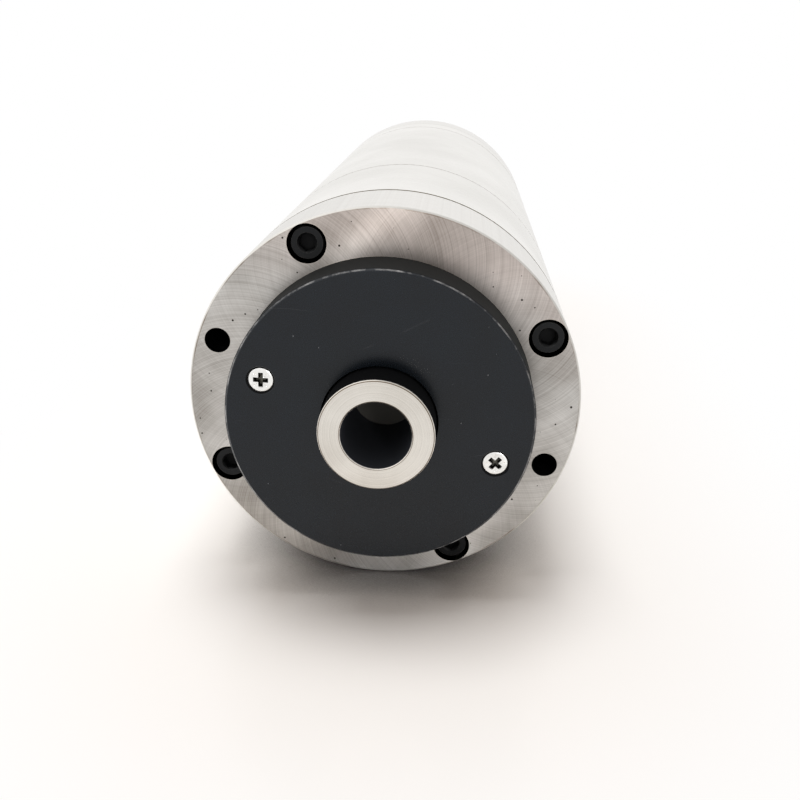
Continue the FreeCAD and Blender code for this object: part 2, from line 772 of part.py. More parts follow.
def make_lock_nut(label, place, bore, outer, length):
    """Make a round nut with spanner slots in its rim."""
    body = ring(label, place, f"({bore} + 2 * slip_fit)", outer, length)
    slot = end_sketch(body, "slot")
    half = "nut_slot_width / 2"
    draw_outline(slot, [
        (f"{outer} / 2 - nut_slot_depth", f"-{half}"),
        (f"{outer} / 2 + nut_slot_depth", f"-{half}"),
        (f"{outer} / 2 + nut_slot_depth", half),
        (f"{outer} / 2 - nut_slot_depth", half),
    ])
    cut = extrude(body, slot, length, cut=True)
    repeat(body, "slots", [cut], "nut_slots")


def make_rotor_core():
    """The laminated rotor core, with a closed round slot for each bar."""
    body = new_body("rotor_core", CORE_FRONT)
    turn(body, "section", [
        ("rotor_seat_d / 2 + slip_fit", "0"),
        ("rotor_d / 2", "0"),
        ("rotor_d / 2", "core_length"),
        ("rotor_seat_d / 2 + slip_fit", "core_length"),
    ])
    sketch = end_sketch(body, "bar_slot")
    draw_circle(sketch, "bar_pitch_d / 2", "0", "rotor_bar_d")
    cut = extrude(body, sketch, "core_length", cut=True)
    repeat(body, "bar_slots", [cut], "rotor_bars")


def make_rotor_cage():
    """The cast cage of the rotor: bars joined by an end ring at each end."""
    body = new_body("rotor_cage", f"{CORE_FRONT} - end_ring_length")
    outer = "end_ring_d / 2"
    inner = "rotor_seat_d / 2 + end_ring_gap"
    far = "end_ring_length + core_length"
    for label, start in (("front_ring", "0"), ("rear_ring", far)):
        turn(body, label, [
            (inner, start),
            (outer, start),
            (outer, f"{start} + end_ring_length"),
            (inner, f"{start} + end_ring_length"),
        ])
    sketch = end_sketch(body, "bar", "end_ring_length / 2")
    draw_circle(sketch, "bar_pitch_d / 2", "0", "rotor_bar_d - 2 * slip_fit")
    bar = extrude(body, sketch, "core_length + end_ring_length", cut=False)
    repeat(body, "bars", [bar], "rotor_bars")


def make_balance_ring(label, place, holes_at, sense):
    """Make a balancing ring, drilled for balance screws on the face away from the rotor."""
    bore = "(rotor_seat_d + 2 * slip_fit)"
    body = ring(label, place, bore, "end_ring_d", "balance_length")
    bore_round(body, "balance_hole", "(end_ring_d + rotor_seat_d) / 2", [
        ("0", holes_at),
        ("balance_hole_d / 2", holes_at),
        ("balance_hole_d / 2", f"{holes_at} {sense} balance_hole_depth"),
        ("0", f"{holes_at} {sense} balance_hole_depth"),
    ], "balance_holes")


# Housings, tube and cooling sleeve

O_RING_GROOVE_R = "tube_bore_d / 2 - o_ring_d - 2 * slip_fit"
O_RING_GROOVE_HALF = "(o_ring_d / 2 + o_ring_room)"


def cut_o_ring_groove(body, middle):
    """Cut a groove round a spigot for an O-ring."""
    turn(body, "o_ring_groove", [
        (O_RING_GROOVE_R, f"{middle} - {O_RING_GROOVE_HALF}"),
        ("tube_bore_d / 2 + o_ring_d", f"{middle} - {O_RING_GROOVE_HALF}"),
        ("tube_bore_d / 2 + o_ring_d", f"{middle} + {O_RING_GROOVE_HALF}"),
        (O_RING_GROOVE_R, f"{middle} + {O_RING_GROOVE_HALF}"),
    ], cut=True)


def make_o_ring(label, place):
    """Make an O-ring centred at a place, squeezed to the room between its groove and the tube."""
    body = new_body(label, place)
    section = side_sketch(body, "section")
    draw_circle(section, "tube_bore_d / 2 - slip_fit - o_ring_d / 2", "0", "o_ring_d")
    revolve(body, section, "V_Axis", cut=False)


def make_front_housing():
    """The front bearing housing, bored from the nose side, with a spigot into the motor tube."""
    body = new_body("front_bearing_housing", FLANGE_BACK)
    length = "front_housing_length"
    shoulder = span(FLANGE_BACK, FRONT_SHOULDER)
    end = f"{length} + tube_spigot_length"
    turn(body, "section", [
        ("front_outer_d / 2", "0"),
        ("body_d / 2 - seam_break", "0"),
        ("body_d / 2", "seam_break"),
        ("body_d / 2", f"{length} - seam_break"),
        ("body_d / 2 - seam_break", length),
        ("tube_bore_d / 2 - slip_fit", length),
        ("tube_bore_d / 2 - slip_fit", end),
        ("housing_cavity_d / 2", end),
        ("housing_cavity_d / 2", f"{shoulder} + housing_lip_length"),
        ("housing_lip_d / 2", f"{shoulder} + housing_lip_length"),
        ("housing_lip_d / 2", shoulder),
        ("front_outer_d / 2", shoulder),
    ])
    cut_o_ring_groove(body, f"{length} + tube_spigot_length / 2")
    bore_round(body, "cap_clearance", "cap_pitch_d", [
        ("0", "0"),
        ("cap_clearance_d / 2", "0"),
        ("cap_clearance_d / 2", length),
        ("0", length),
    ], "cap_count", "front_cap_angle")


def make_motor_tube():
    """The motor tube, tapped at both ends for the cap screws."""
    body = new_body("motor_tube", TUBE_FRONT)
    length = span(TUBE_FRONT, TUBE_BACK)
    turn(body, "section", [
        ("tube_bore_d / 2", "0"),
        ("body_d / 2 - seam_break", "0"),
        ("body_d / 2", "seam_break"),
        ("body_d / 2", f"{length} - seam_break"),
        ("body_d / 2 - seam_break", length),
        ("tube_bore_d / 2", length),
    ])
    depth = "(cap_grip + cap_hole_spare)"
    ends = (
        ("front_tapping", "0", "+", "front_cap_angle"),
        ("rear_tapping", f"({length})", "-", "rear_cap_angle"),
    )
    for label, mouth, sense, angle in ends:
        bore_round(body, label, "cap_pitch_d", [
            ("0", mouth),
            ("cap_shank_d / 2 + slip_fit", mouth),
            ("cap_shank_d / 2 + slip_fit", f"{mouth} {sense} {depth}"),
            ("0", f"{mouth} {sense} {depth}"),
        ], "cap_count", angle)


def make_cooling_sleeve():
    """The water jacket: ring channels in the sleeve's outside, joined by two headers along it."""
    body = new_body("cooling_sleeve", COOLING_FRONT)
    length = span(COOLING_FRONT, COOLING_BACK)
    outer = "tube_bore_d / 2 - slip_fit"
    turn(body, "section", [
        ("sleeve_bore_d / 2", "0"),
        (outer, "0"),
        (outer, length),
        ("sleeve_bore_d / 2", length),
    ])
    floor = f"{outer} - channel_depth"
    channel = turn(body, "channel", [
        (floor, "channel_margin"),
        ("tube_bore_d / 2 + channel_depth", "channel_margin"),
        ("tube_bore_d / 2 + channel_depth", "channel_margin + channel_width"),
        (floor, "channel_margin + channel_width"),
    ], cut=True)
    row = body.newObject("PartDesign::LinearPattern", "channels")
    row.Originals = [channel]
    row.Direction = (origin_feature(body, "Y_Axis"), [""])
    bind(row, "Length", f"({length}) - 2 * channel_margin - channel_width")
    bind(row, "Occurrences", "channel_count")
    body.Tip = row
    sketch = end_sketch(body, "header", "channel_margin")
    half = "header_width / 2"
    draw_outline(sketch, [
        (floor, f"-{half}"),
        ("tube_bore_d / 2 + channel_depth", f"-{half}"),
        ("tube_bore_d / 2 + channel_depth", half),
        (floor, half),
    ])
    header = extrude(body, sketch, f"({length}) - channel_margin", cut=True)
    repeat(body, "headers", [header], "header_count")


def make_rear_housing():
    """The rear bearing housing: flange, tube spigot, and a hub bored for the sliding cartridge."""
    body = new_body("rear_bearing_housing", HUB_FRONT)
    step = span(HUB_FRONT, COOLING_BACK)
    flange = span(HUB_FRONT, TUBE_BACK)
    end = span(HUB_FRONT, COVER_JOINT)
    turn(body, "section", [
        ("hub_lip_bore_d / 2", "0"),
        ("hub_d / 2", "0"),
        ("hub_d / 2", step),
        ("tube_bore_d / 2 - slip_fit", step),
        ("tube_bore_d / 2 - slip_fit", flange),
        ("body_d / 2 - seam_break", flange),
        ("body_d / 2", f"{flange} + seam_break"),
        ("body_d / 2", f"{end} - seam_break"),
        ("body_d / 2 - seam_break", end),
        ("cartridge_d / 2", end),
        ("cartridge_d / 2", "hub_lip_length"),
        ("hub_lip_bore_d / 2", "hub_lip_length"),
    ])
    cut_o_ring_groove(body, f"({step}) + tube_spigot_length / 2")
    bore_round(body, "cap_clearance", "cap_pitch_d", [
        ("0", flange),
        ("cap_clearance_d / 2", flange),
        ("cap_clearance_d / 2", end),
        ("0", end),
    ], "cap_count", "rear_cap_angle")
    bore_round(body, "water_duct", "duct_pitch_d", [
        ("0", step),
        ("duct_d / 2", step),
        ("duct_d / 2", end),
        ("0", end),
    ], "port_count")


def make_cartridge():
    """The sliding cartridge that holds the rear bearing's outer ring, and the two springs that load it."""
    body = new_body("bearing_cartridge", CARTRIDGE)
    length = span(CARTRIDGE, CARTRIDGE_BACK)
    outer = "cartridge_d / 2 - slip_fit"
    turn(body, "section", [
        ("cartridge_lip_bore_d / 2", "0"),
        (f"{outer} - edge_break", "0"),
        (outer, "edge_break"),
        (outer, f"{length} - edge_break"),
        (f"{outer} - edge_break", length),
        ("rear_outer_d / 2", length),
        ("rear_outer_d / 2", "cartridge_lip_length"),
        ("cartridge_lip_bore_d / 2", "cartridge_lip_length"),
    ])

    springs = new_body("preload_springs", SPRING)
    inner = "hub_lip_bore_d / 2 + slip_fit"
    outer = "cartridge_d / 2 - run_gap"
    middle = "spring_height / 2"
    turn(springs, "first_disc", [
        (outer, "0"),
        (outer, "spring_thickness"),
        (inner, middle),
        (inner, f"{middle} - spring_thickness"),
    ])
    turn(springs, "second_disc", [
        (outer, "spring_height"),
        (outer, "spring_height - spring_thickness"),
        (inner, middle),
        (inner, f"{middle} + spring_thickness"),
    ])


def make_rear_cover():
    """The rear cover: a cup over the rear nut, with two water ports and the power receptacle's hole."""
    body = new_body("rear_cover", f"{COVER_JOINT} - rear_pilot_length")
    face = "(rear_pilot_length + rear_cover_length)"
    turn(body, "section", [
        ("rear_cavity_d / 2", "0"),
        ("cartridge_d / 2 - slip_fit", "0"),
        ("cartridge_d / 2 - slip_fit", "rear_pilot_length"),
        ("body_d / 2 - seam_break", "rear_pilot_length"),
        ("body_d / 2", "rear_pilot_length + seam_break"),
        ("body_d / 2", f"{face} - 2 * edge_break"),
        ("body_d / 2 - 2 * edge_break", face),
        ("shell_barrel_d / 2 + slip_fit", face),
        ("shell_barrel_d / 2 + slip_fit", f"{face} - rear_wall"),
        ("rear_cavity_d / 2", f"{face} - rear_wall"),
    ])
    bore_round(body, "cap_hole", "cap_pitch_d", cap_hole(face, "rear_pilot_length", COUNTERBORE_DEPTH, "-"),
               "cap_count", "rear_cap_angle")
    tapping = f"{face} - port_thread_length - port_hole_spare"
    bore_round(body, "water_port", "port_pitch_d", [
        ("0", face),
        ("port_thread_d / 2 + slip_fit", face),
        ("port_thread_d / 2 + slip_fit", tapping),
        ("port_passage_d / 2", tapping),
        ("port_passage_d / 2", "rear_pilot_length"),
        ("0", "rear_pilot_length"),
    ], "port_count")


# Stator

def make_stator_core():
    """The laminated stator core with its slots open towards the rotor."""
    body = new_body("stator_core", CORE_FRONT)
    bore = "stator_bore_d / 2"
    turn(body, "section", [
        (bore, "0"),
        ("sleeve_bore_d / 2 - slip_fit", "0"),
        ("sleeve_bore_d / 2 - slip_fit", "core_length"),
        (bore, "core_length"),
    ])
    sketch = end_sketch(body, "slot")
    side = [
        (f"{bore} - tooth_tip", "slot_opening / 2"),
        (f"{bore} + tooth_tip", "slot_opening / 2"),
        (f"{bore} + tooth_tip", "slot_neck / 2"),
        (f"{bore} + slot_depth", "slot_root / 2"),
    ]
    draw_outline(sketch, side + [(across, f"-{up}") for across, up in reversed(side)])
    cut = extrude(body, sketch, "core_length", cut=True)
    repeat(body, "slots", [cut], "stator_slots")


def make_windings():
    """The windings: a bundle in each slot, joined by the end turns at both ends of the core."""
    body = new_body("stator_windings", f"{CORE_FRONT} - coil_overhang")
    bore = "stator_bore_d / 2"
    inner = f"{bore} + tooth_tip + slot_liner"
    far = "coil_overhang + core_length"
    for label, start in (("front_turns", "0"), ("rear_turns", far)):
        end = f"{start} + coil_overhang"
        turn(body, label, [
            (inner, f"{start} + coil_corner"),
            (f"{inner} + coil_corner", start),
            ("coil_d / 2 - coil_corner", start),
            ("coil_d / 2", f"{start} + coil_corner"),
            ("coil_d / 2", f"{end} - coil_corner"),
            ("coil_d / 2 - coil_corner", end),
            (f"{inner} + coil_corner", end),
            (inner, f"{end} - coil_corner"),
        ])
    sketch = end_sketch(body, "bundle", "coil_overhang - coil_corner")
    side = [
        (inner, "slot_neck / 2 - slot_liner"),
        (f"{bore} + slot_depth - slot_liner", "slot_root / 2 - slot_liner"),
    ]
    draw_outline(sketch, side + [(across, f"-({up})") for across, up in reversed(side)])
    bundle = extrude(body, sketch, "core_length + 2 * coil_corner", cut=False)
    repeat(body, "bundles", [bundle], "stator_slots")


# Water nozzles and power receptacle at the rear

def make_nozzles():
    """The two hose nozzles and their sealing washers."""
    washers = new_body("nozzle_washers", REAR_FACE)
    washer = turn_aside(washers, "washer", "port_pitch_d / 2", [
        ("0", "0"),
        ("washer_d / 2", "0"),
        ("washer_d / 2", "washer_thickness"),
        ("0", "washer_thickness"),
    ])
    hole = turn_aside(washers, "hole", "port_pitch_d / 2", [
        ("0", "0"),
        ("port_thread_d / 2 + slip_fit", "0"),
        ("port_thread_d / 2 + slip_fit", "washer_thickness"),
        ("0", "washer_thickness"),
    ], cut=True)
    repeat(washers, "washers", [washer, hole], "port_count")

    nozzles = new_body("hose_nozzles", f"{REAR_FACE} - port_thread_length")
    seat = "(port_thread_length + washer_thickness)"
    neck = f"({seat} + nozzle_hex_height)"
    barbs = []
    for index in range(SIZES["barb_count"]):
        start = f"{neck} + barb_length * {index}"
        barbs += [("barb_root_d / 2", start), ("barb_d / 2", start)]
    barbs[0] = ("barb_root_d / 2", f"{neck} - nozzle_hex_height / 2")
    tip = f"{neck} + barb_length * barb_count"
    screw = turn_aside(nozzles, "nozzle", "port_pitch_d / 2", [
        ("0", "0"),
        ("port_thread_d / 2", "0"),
        ("port_thread_d / 2", f"{seat} + nozzle_hex_height / 2"),
    ] + barbs + [
        ("barb_root_d / 2", tip),
        ("0", tip),
    ])
    sketch = end_sketch(nozzles, "hexagon", seat, "port_pitch_d / 2")
    draw_hexagon(sketch, "nozzle_hex")
    hexagon = extrude(nozzles, sketch, "nozzle_hex_height", cut=False)
    bore = turn_aside(nozzles, "bore", "port_pitch_d / 2", [
        ("0", "0"),
        ("nozzle_bore_d / 2", "0"),
        ("nozzle_bore_d / 2", tip),
        ("0", tip),
    ], cut=True)
    repeat(nozzles, "nozzles", [screw, hexagon, bore], "port_count")


def make_receptacle():
    """The power receptacle: threaded shell, its nut inside the cover, insulating insert and pins."""
    shell = new_body("receptacle_shell", f"{REAR_FACE} - shell_barrel_length")
    face = "(shell_barrel_length + shell_flange_length)"
    mouth = f"({face} + shell_reach)"
    turn(shell, "section", [
        ("shell_bore_d / 2", "0"),
        ("shell_barrel_d / 2", "0"),
        ("shell_barrel_d / 2", "shell_barrel_length"),
        ("shell_flange_d / 2", "shell_barrel_length"),
        ("shell_flange_d / 2", f"{face} - edge_break"),
        ("shell_flange_d / 2 - edge_break", face),
        ("shell_thread_d / 2", face),
        ("shell_thread_d / 2", f"{mouth} - edge_break"),
        ("shell_thread_d / 2 - edge_break", mouth),
        ("shell_bore_d / 2", mouth),
    ])

    nut = new_body("receptacle_nut", f"{REAR_FACE} - rear_wall - shell_nut_length")
    sketch = end_sketch(nut, "hexagon")
    draw_hexagon(sketch, "shell_nut")
    extrude(nut, sketch, "shell_nut_length", cut=False)
    sketch = end_sketch(nut, "hole")
    draw_circle(sketch, "0", "0", "shell_barrel_d + 2 * slip_fit")
    extrude(nut, sketch, "shell_nut_length", cut=True)

    insert = new_body("receptacle_insert", f"{REAR_FACE} - shell_barrel_length")
    length = f"{mouth} - insert_recess"
    floor = f"{length} - insert_floor"
    wall = "(shell_bore_d / 2 - slip_fit)"
    turn(insert, "section", [
        ("0", "0"),
        (wall, "0"),
        (wall, length),
        (f"{wall} - insert_recess / 2", length),
        (f"{wall} - insert_recess / 2", floor),
        ("0", floor),
    ])
    bore_round(insert, "pin_hole", "pin_pitch_d", [
        ("0", "0"),
        ("pin_d / 2 + slip_fit", "0"),
        ("pin_d / 2 + slip_fit", floor),
        ("0", floor),
    ], "pin_count")

    pins = new_body("receptacle_pins", f"{REAR_FACE} - shell_barrel_length - pin_tail")
    tip = f"pin_tail + {length} - pin_reach"
    pin = turn_aside(pins, "pin", "pin_pitch_d / 2", [
        ("0", "0"),
        ("pin_d / 2", "0"),
        ("pin_d / 2", f"{tip} - pin_d / 4"),
        ("pin_d / 4", tip),
        ("0", tip),
    ])
    repeat(pins, "pins", [pin], "pin_count")


make_front_flange()
make_nose_cover()
make_cover_screws()
cap_screws("flange_screws", "0", FRONT_SCREW_LENGTH, "front_cap_angle", "+")
make_front_housing()
make_bearing("first_bearing", "front", FIRST_BEARING, mirrored=False)
make_bearing("second_bearing", "front", SECOND_BEARING, mirrored=True)
make_bearing("rear_bearing", "rear", REAR_BEARING, mirrored=True)
make_spacers()
make_shaft()
make_slinger()
make_lock_nut("front_lock_nut", FRONT_NUT, "front_bore_d", "front_nut_d", "front_nut_length")
make_lock_nut("rear_lock_nut", REAR_NUT, "rear_thread_d", "rear_nut_d", "rear_nut_length")
make_rotor_core()
make_rotor_cage()
make_balance_ring("front_balance_ring", ROTOR_FRONT, "0", "+")
make_balance_ring("rear_balance_ring", f"{CORE_BACK} + end_ring_length", "balance_length", "-")
make_motor_tube()
make_cooling_sleeve()
make_o_ring("front_o_ring", f"{TUBE_FRONT} + tube_spigot_length / 2")
make_o_ring("rear_o_ring", f"{COOLING_BACK} + tube_spigot_length / 2")
make_stator_core()
make_windings()
make_rear_housing()
make_cartridge()
make_rear_cover()
cap_screws("rear_screws", REAR_FACE, REAR_SCREW_LENGTH, "rear_cap_angle", "-")
make_nozzles()
make_receptacle()
doc.recompute()

# Every object has to be sound, and every cut has to remove something
CUTS = ("PartDesign::Groove", "PartDesign::Pocket")
for item in doc.Objects:
    if "Invalid" in item.State or "Error" in item.State:
        raise RuntimeError(f"{item.Label} failed: {item.State}")
    if item.TypeId in CUTS and item.Shape.Volume > item.BaseFeature.Shape.Volume - 1e-3:
        raise RuntimeError(f"{item.Label} of {item.getParentGeoFeatureGroup().Label} cuts nothing")

os.makedirs("parts", exist_ok=True)
bodies = [item for item in doc.Objects if item.TypeId == "PartDesign::Body"]
for body in bodies:
    if body.Shape.isNull() or not body.Shape.isValid():
        raise RuntimeError(f"{body.Label} has no valid shape")
for body in bodies:
    body.Shape.exportStep(f"parts/{body.Label}.step")
    print(f"{body.Label}: {len(body.Shape.Solids)} solids, {body.Shape.Volume:.1f} mm3")
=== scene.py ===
"""Dresses the grinding spindle motor: its finishes, screws, threads, windings, floor, lamps and camera."""
import logging
import math
from dataclasses import dataclass
from enum import Enum
from functools import cache
from typing import Callable, Dict, List, Optional, Sequence, Tuple, Union

import bmesh
import bpy
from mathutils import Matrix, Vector


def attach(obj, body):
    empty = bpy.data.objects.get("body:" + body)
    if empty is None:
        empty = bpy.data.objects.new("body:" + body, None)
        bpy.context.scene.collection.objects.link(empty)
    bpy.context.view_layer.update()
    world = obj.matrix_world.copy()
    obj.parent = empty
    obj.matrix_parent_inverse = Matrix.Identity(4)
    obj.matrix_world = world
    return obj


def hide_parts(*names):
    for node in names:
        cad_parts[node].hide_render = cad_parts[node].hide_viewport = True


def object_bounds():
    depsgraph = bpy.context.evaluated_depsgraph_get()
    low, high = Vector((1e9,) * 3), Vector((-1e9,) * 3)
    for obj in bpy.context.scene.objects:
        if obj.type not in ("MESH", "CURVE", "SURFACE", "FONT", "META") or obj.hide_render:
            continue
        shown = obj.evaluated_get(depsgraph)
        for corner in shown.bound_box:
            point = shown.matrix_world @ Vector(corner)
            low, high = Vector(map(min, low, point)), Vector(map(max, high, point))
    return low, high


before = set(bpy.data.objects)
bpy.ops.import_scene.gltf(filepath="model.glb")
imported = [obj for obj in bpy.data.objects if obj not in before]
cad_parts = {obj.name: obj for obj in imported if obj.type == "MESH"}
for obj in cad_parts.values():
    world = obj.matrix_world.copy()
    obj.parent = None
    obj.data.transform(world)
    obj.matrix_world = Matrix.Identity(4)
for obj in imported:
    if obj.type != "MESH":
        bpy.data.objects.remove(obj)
CAD_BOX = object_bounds()
LOG = logging.getLogger("spindle")

MM = 0.001
FULL_TURN = 2 * math.pi
# What a place is multiplied by to leave its two parts square to the spindle
SQUARE_TO_AXIS = (1, 0, 1)
# What a mask goes from and to across its edge
FADING = (1.0, 0.0)
WHITE = (1, 1, 1, 1)
# The body that stands still, on which every detailed piece rides
HOUSING = "housing"
# A thread's depth as a share of its pitch, and the rings that draw one pitch of it
THREAD_DEPTH = 0.6
THREAD_RINGS = 4
# A jack thread's ridge and a wire: the steps of a turn and the corners of a section
RIDGE_STEPS, RIDGE_CORNERS = 32, 4
WIRE_STEPS, WIRE_CORNERS = 120, 6
# How many waves a wire's wander has to a metre
WIRE_WAVES = 90.0
# The least that a width is divided by
NEAR_ZERO = 0.001

Colour = Tuple[float, float, float, float]
Place = Tuple[float, float, float]
Span = Tuple[float, float]
Ring = Callable[[float], Tuple[float, float]]
Source = Union[bpy.types.Node, bpy.types.NodeSocket]


class Lay(Enum):
    """Which way the marks of a surface run."""

    RINGS = "round the spindle"
    SHEETS = "square to the spindle, as in a stack"
    GRAIN = "every way"


class WheelSide(Enum):
    """Which side of a cup wheel cuts, as the sign of the angle back to the wheel's centre."""

    LEADING = -1.0
    TRAILING = 1.0


class Shine(Enum):
    """Which surfaces a lamp shines on."""

    ALL = "dull and glossy ones"
    DULL = "dull ones only"
    GLOSSY = "glossy ones only"


# Nodes and colours

def linear(hex_colour: str) -> Colour:
    """Turn an sRGB hex colour into a linear one.

    Args:
        hex_colour: the colour as #RRGGBB.

    Returns:
        Linear red, green and blue, and 1 for alpha.
    """
    shares = [int(hex_colour[place:place + 2], 16) / 255 for place in (1, 3, 5)]
    red, green, blue = [share / 12.92 if share <= 0.04045 else ((share + 0.055) / 1.055) ** 2.4
                        for share in shares]
    return red, green, blue, 1.0


def add_node(tree: bpy.types.NodeTree, kind: str, inputs: Union[Dict, Sequence] = (),
             **settings: object) -> bpy.types.Node:
    """Add a node to a tree with its settings and links.

    Args:
        tree: the node tree that gets the node.
        kind: the node's type name.
        inputs: what its inputs hold, in order as a list or by name or number as a dictionary. Each holds a
            plain value, a socket, or a node whose first output is meant.
        settings: the node's own properties.

    Returns:
        The new node.
    """
    node = tree.nodes.new(kind)
    for name, value in settings.items():
        setattr(node, name, value)
    for place, value in inputs.items() if isinstance(inputs, dict) else enumerate(inputs):
        if isinstance(value, bpy.types.Node):
            value = value.outputs[0]
        if isinstance(value, bpy.types.NodeSocket):
            tree.links.new(value, node.inputs[place])
        else:
            node.inputs[place].default_value = value
    return node


# Meshes

def add_object(name: str, mesh: bpy.types.Mesh) -> bpy.types.Object:
    """Put a mesh into the scene as an object at the origin.

    Args:
        name: the object's name.
        mesh: its mesh, in the frame's own coordinates.

    Returns:
        The new object.
    """
    thing = bpy.data.objects.new(name, mesh)
    bpy.context.scene.collection.objects.link(thing)
    return thing


def even_angles(count: int) -> List[float]:
    """Give angles spread evenly over a full turn."""
    return [FULL_TURN * step / count for step in range(count)]


def at(radius: float, along: float) -> Ring:
    """Describe a round ring of one radius at one place along the axis."""
    return lambda angle: (radius, along)


def hexagon(across_flats: float, along: float, largest: float = math.inf) -> Ring:
    """Describe a hexagonal ring.

    Args:
        across_flats: the width over two opposite flats.
        along: the place along the axis.
        largest: the radius to which its corners are cut back.

    Returns:
        The ring.
    """
    def ring(angle: float) -> Tuple[float, float]:
        """Give the hexagon's radius at an angle, and its place."""
        offset = (angle + math.pi / 6) % (math.pi / 3) - math.pi / 6
        return min(across_flats / 2 / math.cos(offset), largest), along
    return ring


def thread(diameter: float, pitch: float, start: float, end: float) -> List[Ring]:
    """Describe the rings of a screw thread.

    Args:
        diameter: the outer diameter.
        pitch: the distance from crest to crest.
        start: where the thread starts along the axis.
        end: where it ends.

    Returns:
        Its rings, whose radius follows the helix.
    """
    def ring_at(along: float) -> Ring:
        """Describe one ring of the thread.

        Args:
            along: the place along the axis.

        Returns:
            The ring.
        """
        def ring(angle: float) -> Tuple[float, float]:
            """Give the thread's radius at an angle, and its place."""
            turn = along / pitch - angle / FULL_TURN
            return diameter / 2 - THREAD_DEPTH * pitch * abs(2 * (turn - math.floor(turn)) - 1), along
        return ring
    steps = max(2, round(THREAD_RINGS * abs(end - start) / pitch))
    return [ring_at(start + (end - start) * step / steps) for step in range(steps + 1)]


def turned_mesh(name: str, rings: Sequence[Ring], angles: Sequence[float], bored: bool = False,
                sharp_deg: float = 35) -> bpy.types.Mesh:
    """Build a closed shape round the Y axis from rings.

    Args:
        name: the mesh's name.
        rings: its rings in order, in millimetres: from one pole to the other, or right round its section.
        angles: the angles at which each ring has a corner.
        bored: whether the section closes on itself round a bore, and otherwise it ends in two poles.
        sharp_deg: the angle past which an edge stays sharp.

    Returns:
        The mesh, with its faces outwards.
    """
    corners = []
    for ring in rings:
        for angle in angles:
            radius, along = ring(angle)
            corners.append((radius * math.cos(angle) * MM, along * MM, radius * math.sin(angle) * MM))
    count = len(angles)
    faces = []
    rows = len(rings) if bored else len(rings) - 1
    for row in range(rows):
        here = row * count
        there = (row + 1) % len(rings) * count
        for step in range(count):
            after = (step + 1) % count
            faces.append((here + step, here + after, there + after, there + step))
    if not bored:
        for row in (0, len(rings) - 1):
            middle = sum(corner[1] for corner in corners[row * count:(row + 1) * count]) / count
            corners.append((0.0, middle, 0.0))
            for step in range(count):
                faces.append((row * count + step, row * count + (step + 1) % count, len(corners) - 1))
    mesh = bpy.data.meshes.new(name)
    mesh.from_pydata(corners, [], faces)
    shape = bmesh.new()
    shape.from_mesh(mesh)
    bmesh.ops.recalc_face_normals(shape, faces=shape.faces)
    shape.to_mesh(mesh)
    shape.free()
    mesh.shade_smooth()
    mesh.set_sharp_from_angle(angle=math.radians(sharp_deg))
    return mesh


# Trees that repeat and follow

def new_tree(name: str, inputs: Dict[str, str]) -> bpy.types.NodeTree:
    """Start a geometry tree with named inputs.

    Args:
        name: the tree's name.
        inputs: the kind of each input, by its name.

    Returns:
        The tree, with one geometry output.
    """
    tree = bpy.data.node_groups.new(name, "GeometryNodeTree")
    for label, kind in inputs.items():
        tree.interface.new_socket(label, in_out="INPUT", socket_type="NodeSocket" + kind)
    tree.interface.new_socket("Pieces", in_out="OUTPUT", socket_type="NodeSocketGeometry")
    return tree


def finish_tree(tree: bpy.types.NodeTree, pieces: Source, finish: Source) -> None:
    """End a tree: real meshes with their material.

    Args:
        tree: the tree.
        pieces: what it made.
        finish: the socket with the material.
    """
    real = add_node(tree, "GeometryNodeRealizeInstances", [pieces])
    dressed = add_node(tree, "GeometryNodeSetMaterial", {"Geometry": real, "Material": finish})
    add_node(tree, "NodeGroupOutput", [dressed])


@cache
def circle_tree() -> bpy.types.NodeTree:
    """Make the tree that sets copies of a piece on a circle round the spindle.

    Returns:
        The tree. Each copy turns on its own axis by the own turn, and by one more turn step than the last.
    """
    tree = new_tree("pieces_on_a_circle", {
        "Piece": "Geometry", "Count": "Int", "Radius": "Float", "First Angle": "Float", "Along": "Float",
        "Own Turn": "Float", "Turn Step": "Float", "Finish": "Material",
    })
    given = add_node(tree, "NodeGroupInput").outputs
    index = add_node(tree, "GeometryNodeInputIndex")
    step = add_node(tree, "ShaderNodeMath", [FULL_TURN, given["Count"]], operation="DIVIDE")
    angle = add_node(tree, "ShaderNodeMath", [index, step, given["First Angle"]], operation="MULTIPLY_ADD")
    side = add_node(tree, "ShaderNodeMath", [angle], operation="COSINE")
    height = add_node(tree, "ShaderNodeMath", [angle], operation="SINE")
    across = add_node(tree, "ShaderNodeMath", [side, given["Radius"]], operation="MULTIPLY")
    up = add_node(tree, "ShaderNodeMath", [height, given["Radius"]], operation="MULTIPLY")
    place = add_node(tree, "ShaderNodeCombineXYZ", {"X": across, "Y": given["Along"], "Z": up})
    points = add_node(tree, "GeometryNodePoints", {"Count": given["Count"], "Position": place})
    turn = add_node(tree, "ShaderNodeMath", [index, given["Turn Step"], given["Own Turn"]],
                    operation="MULTIPLY_ADD")
    back = add_node(tree, "ShaderNodeMath", [turn, -1.0], operation="MULTIPLY")
    rotation = add_node(tree, "ShaderNodeCombineXYZ", {"Y": back})
    copies = add_node(tree, "GeometryNodeInstanceOnPoints",
                      {"Points": points, "Instance": given["Piece"], "Rotation": rotation})
    finish_tree(tree, copies, given["Finish"])
    return tree


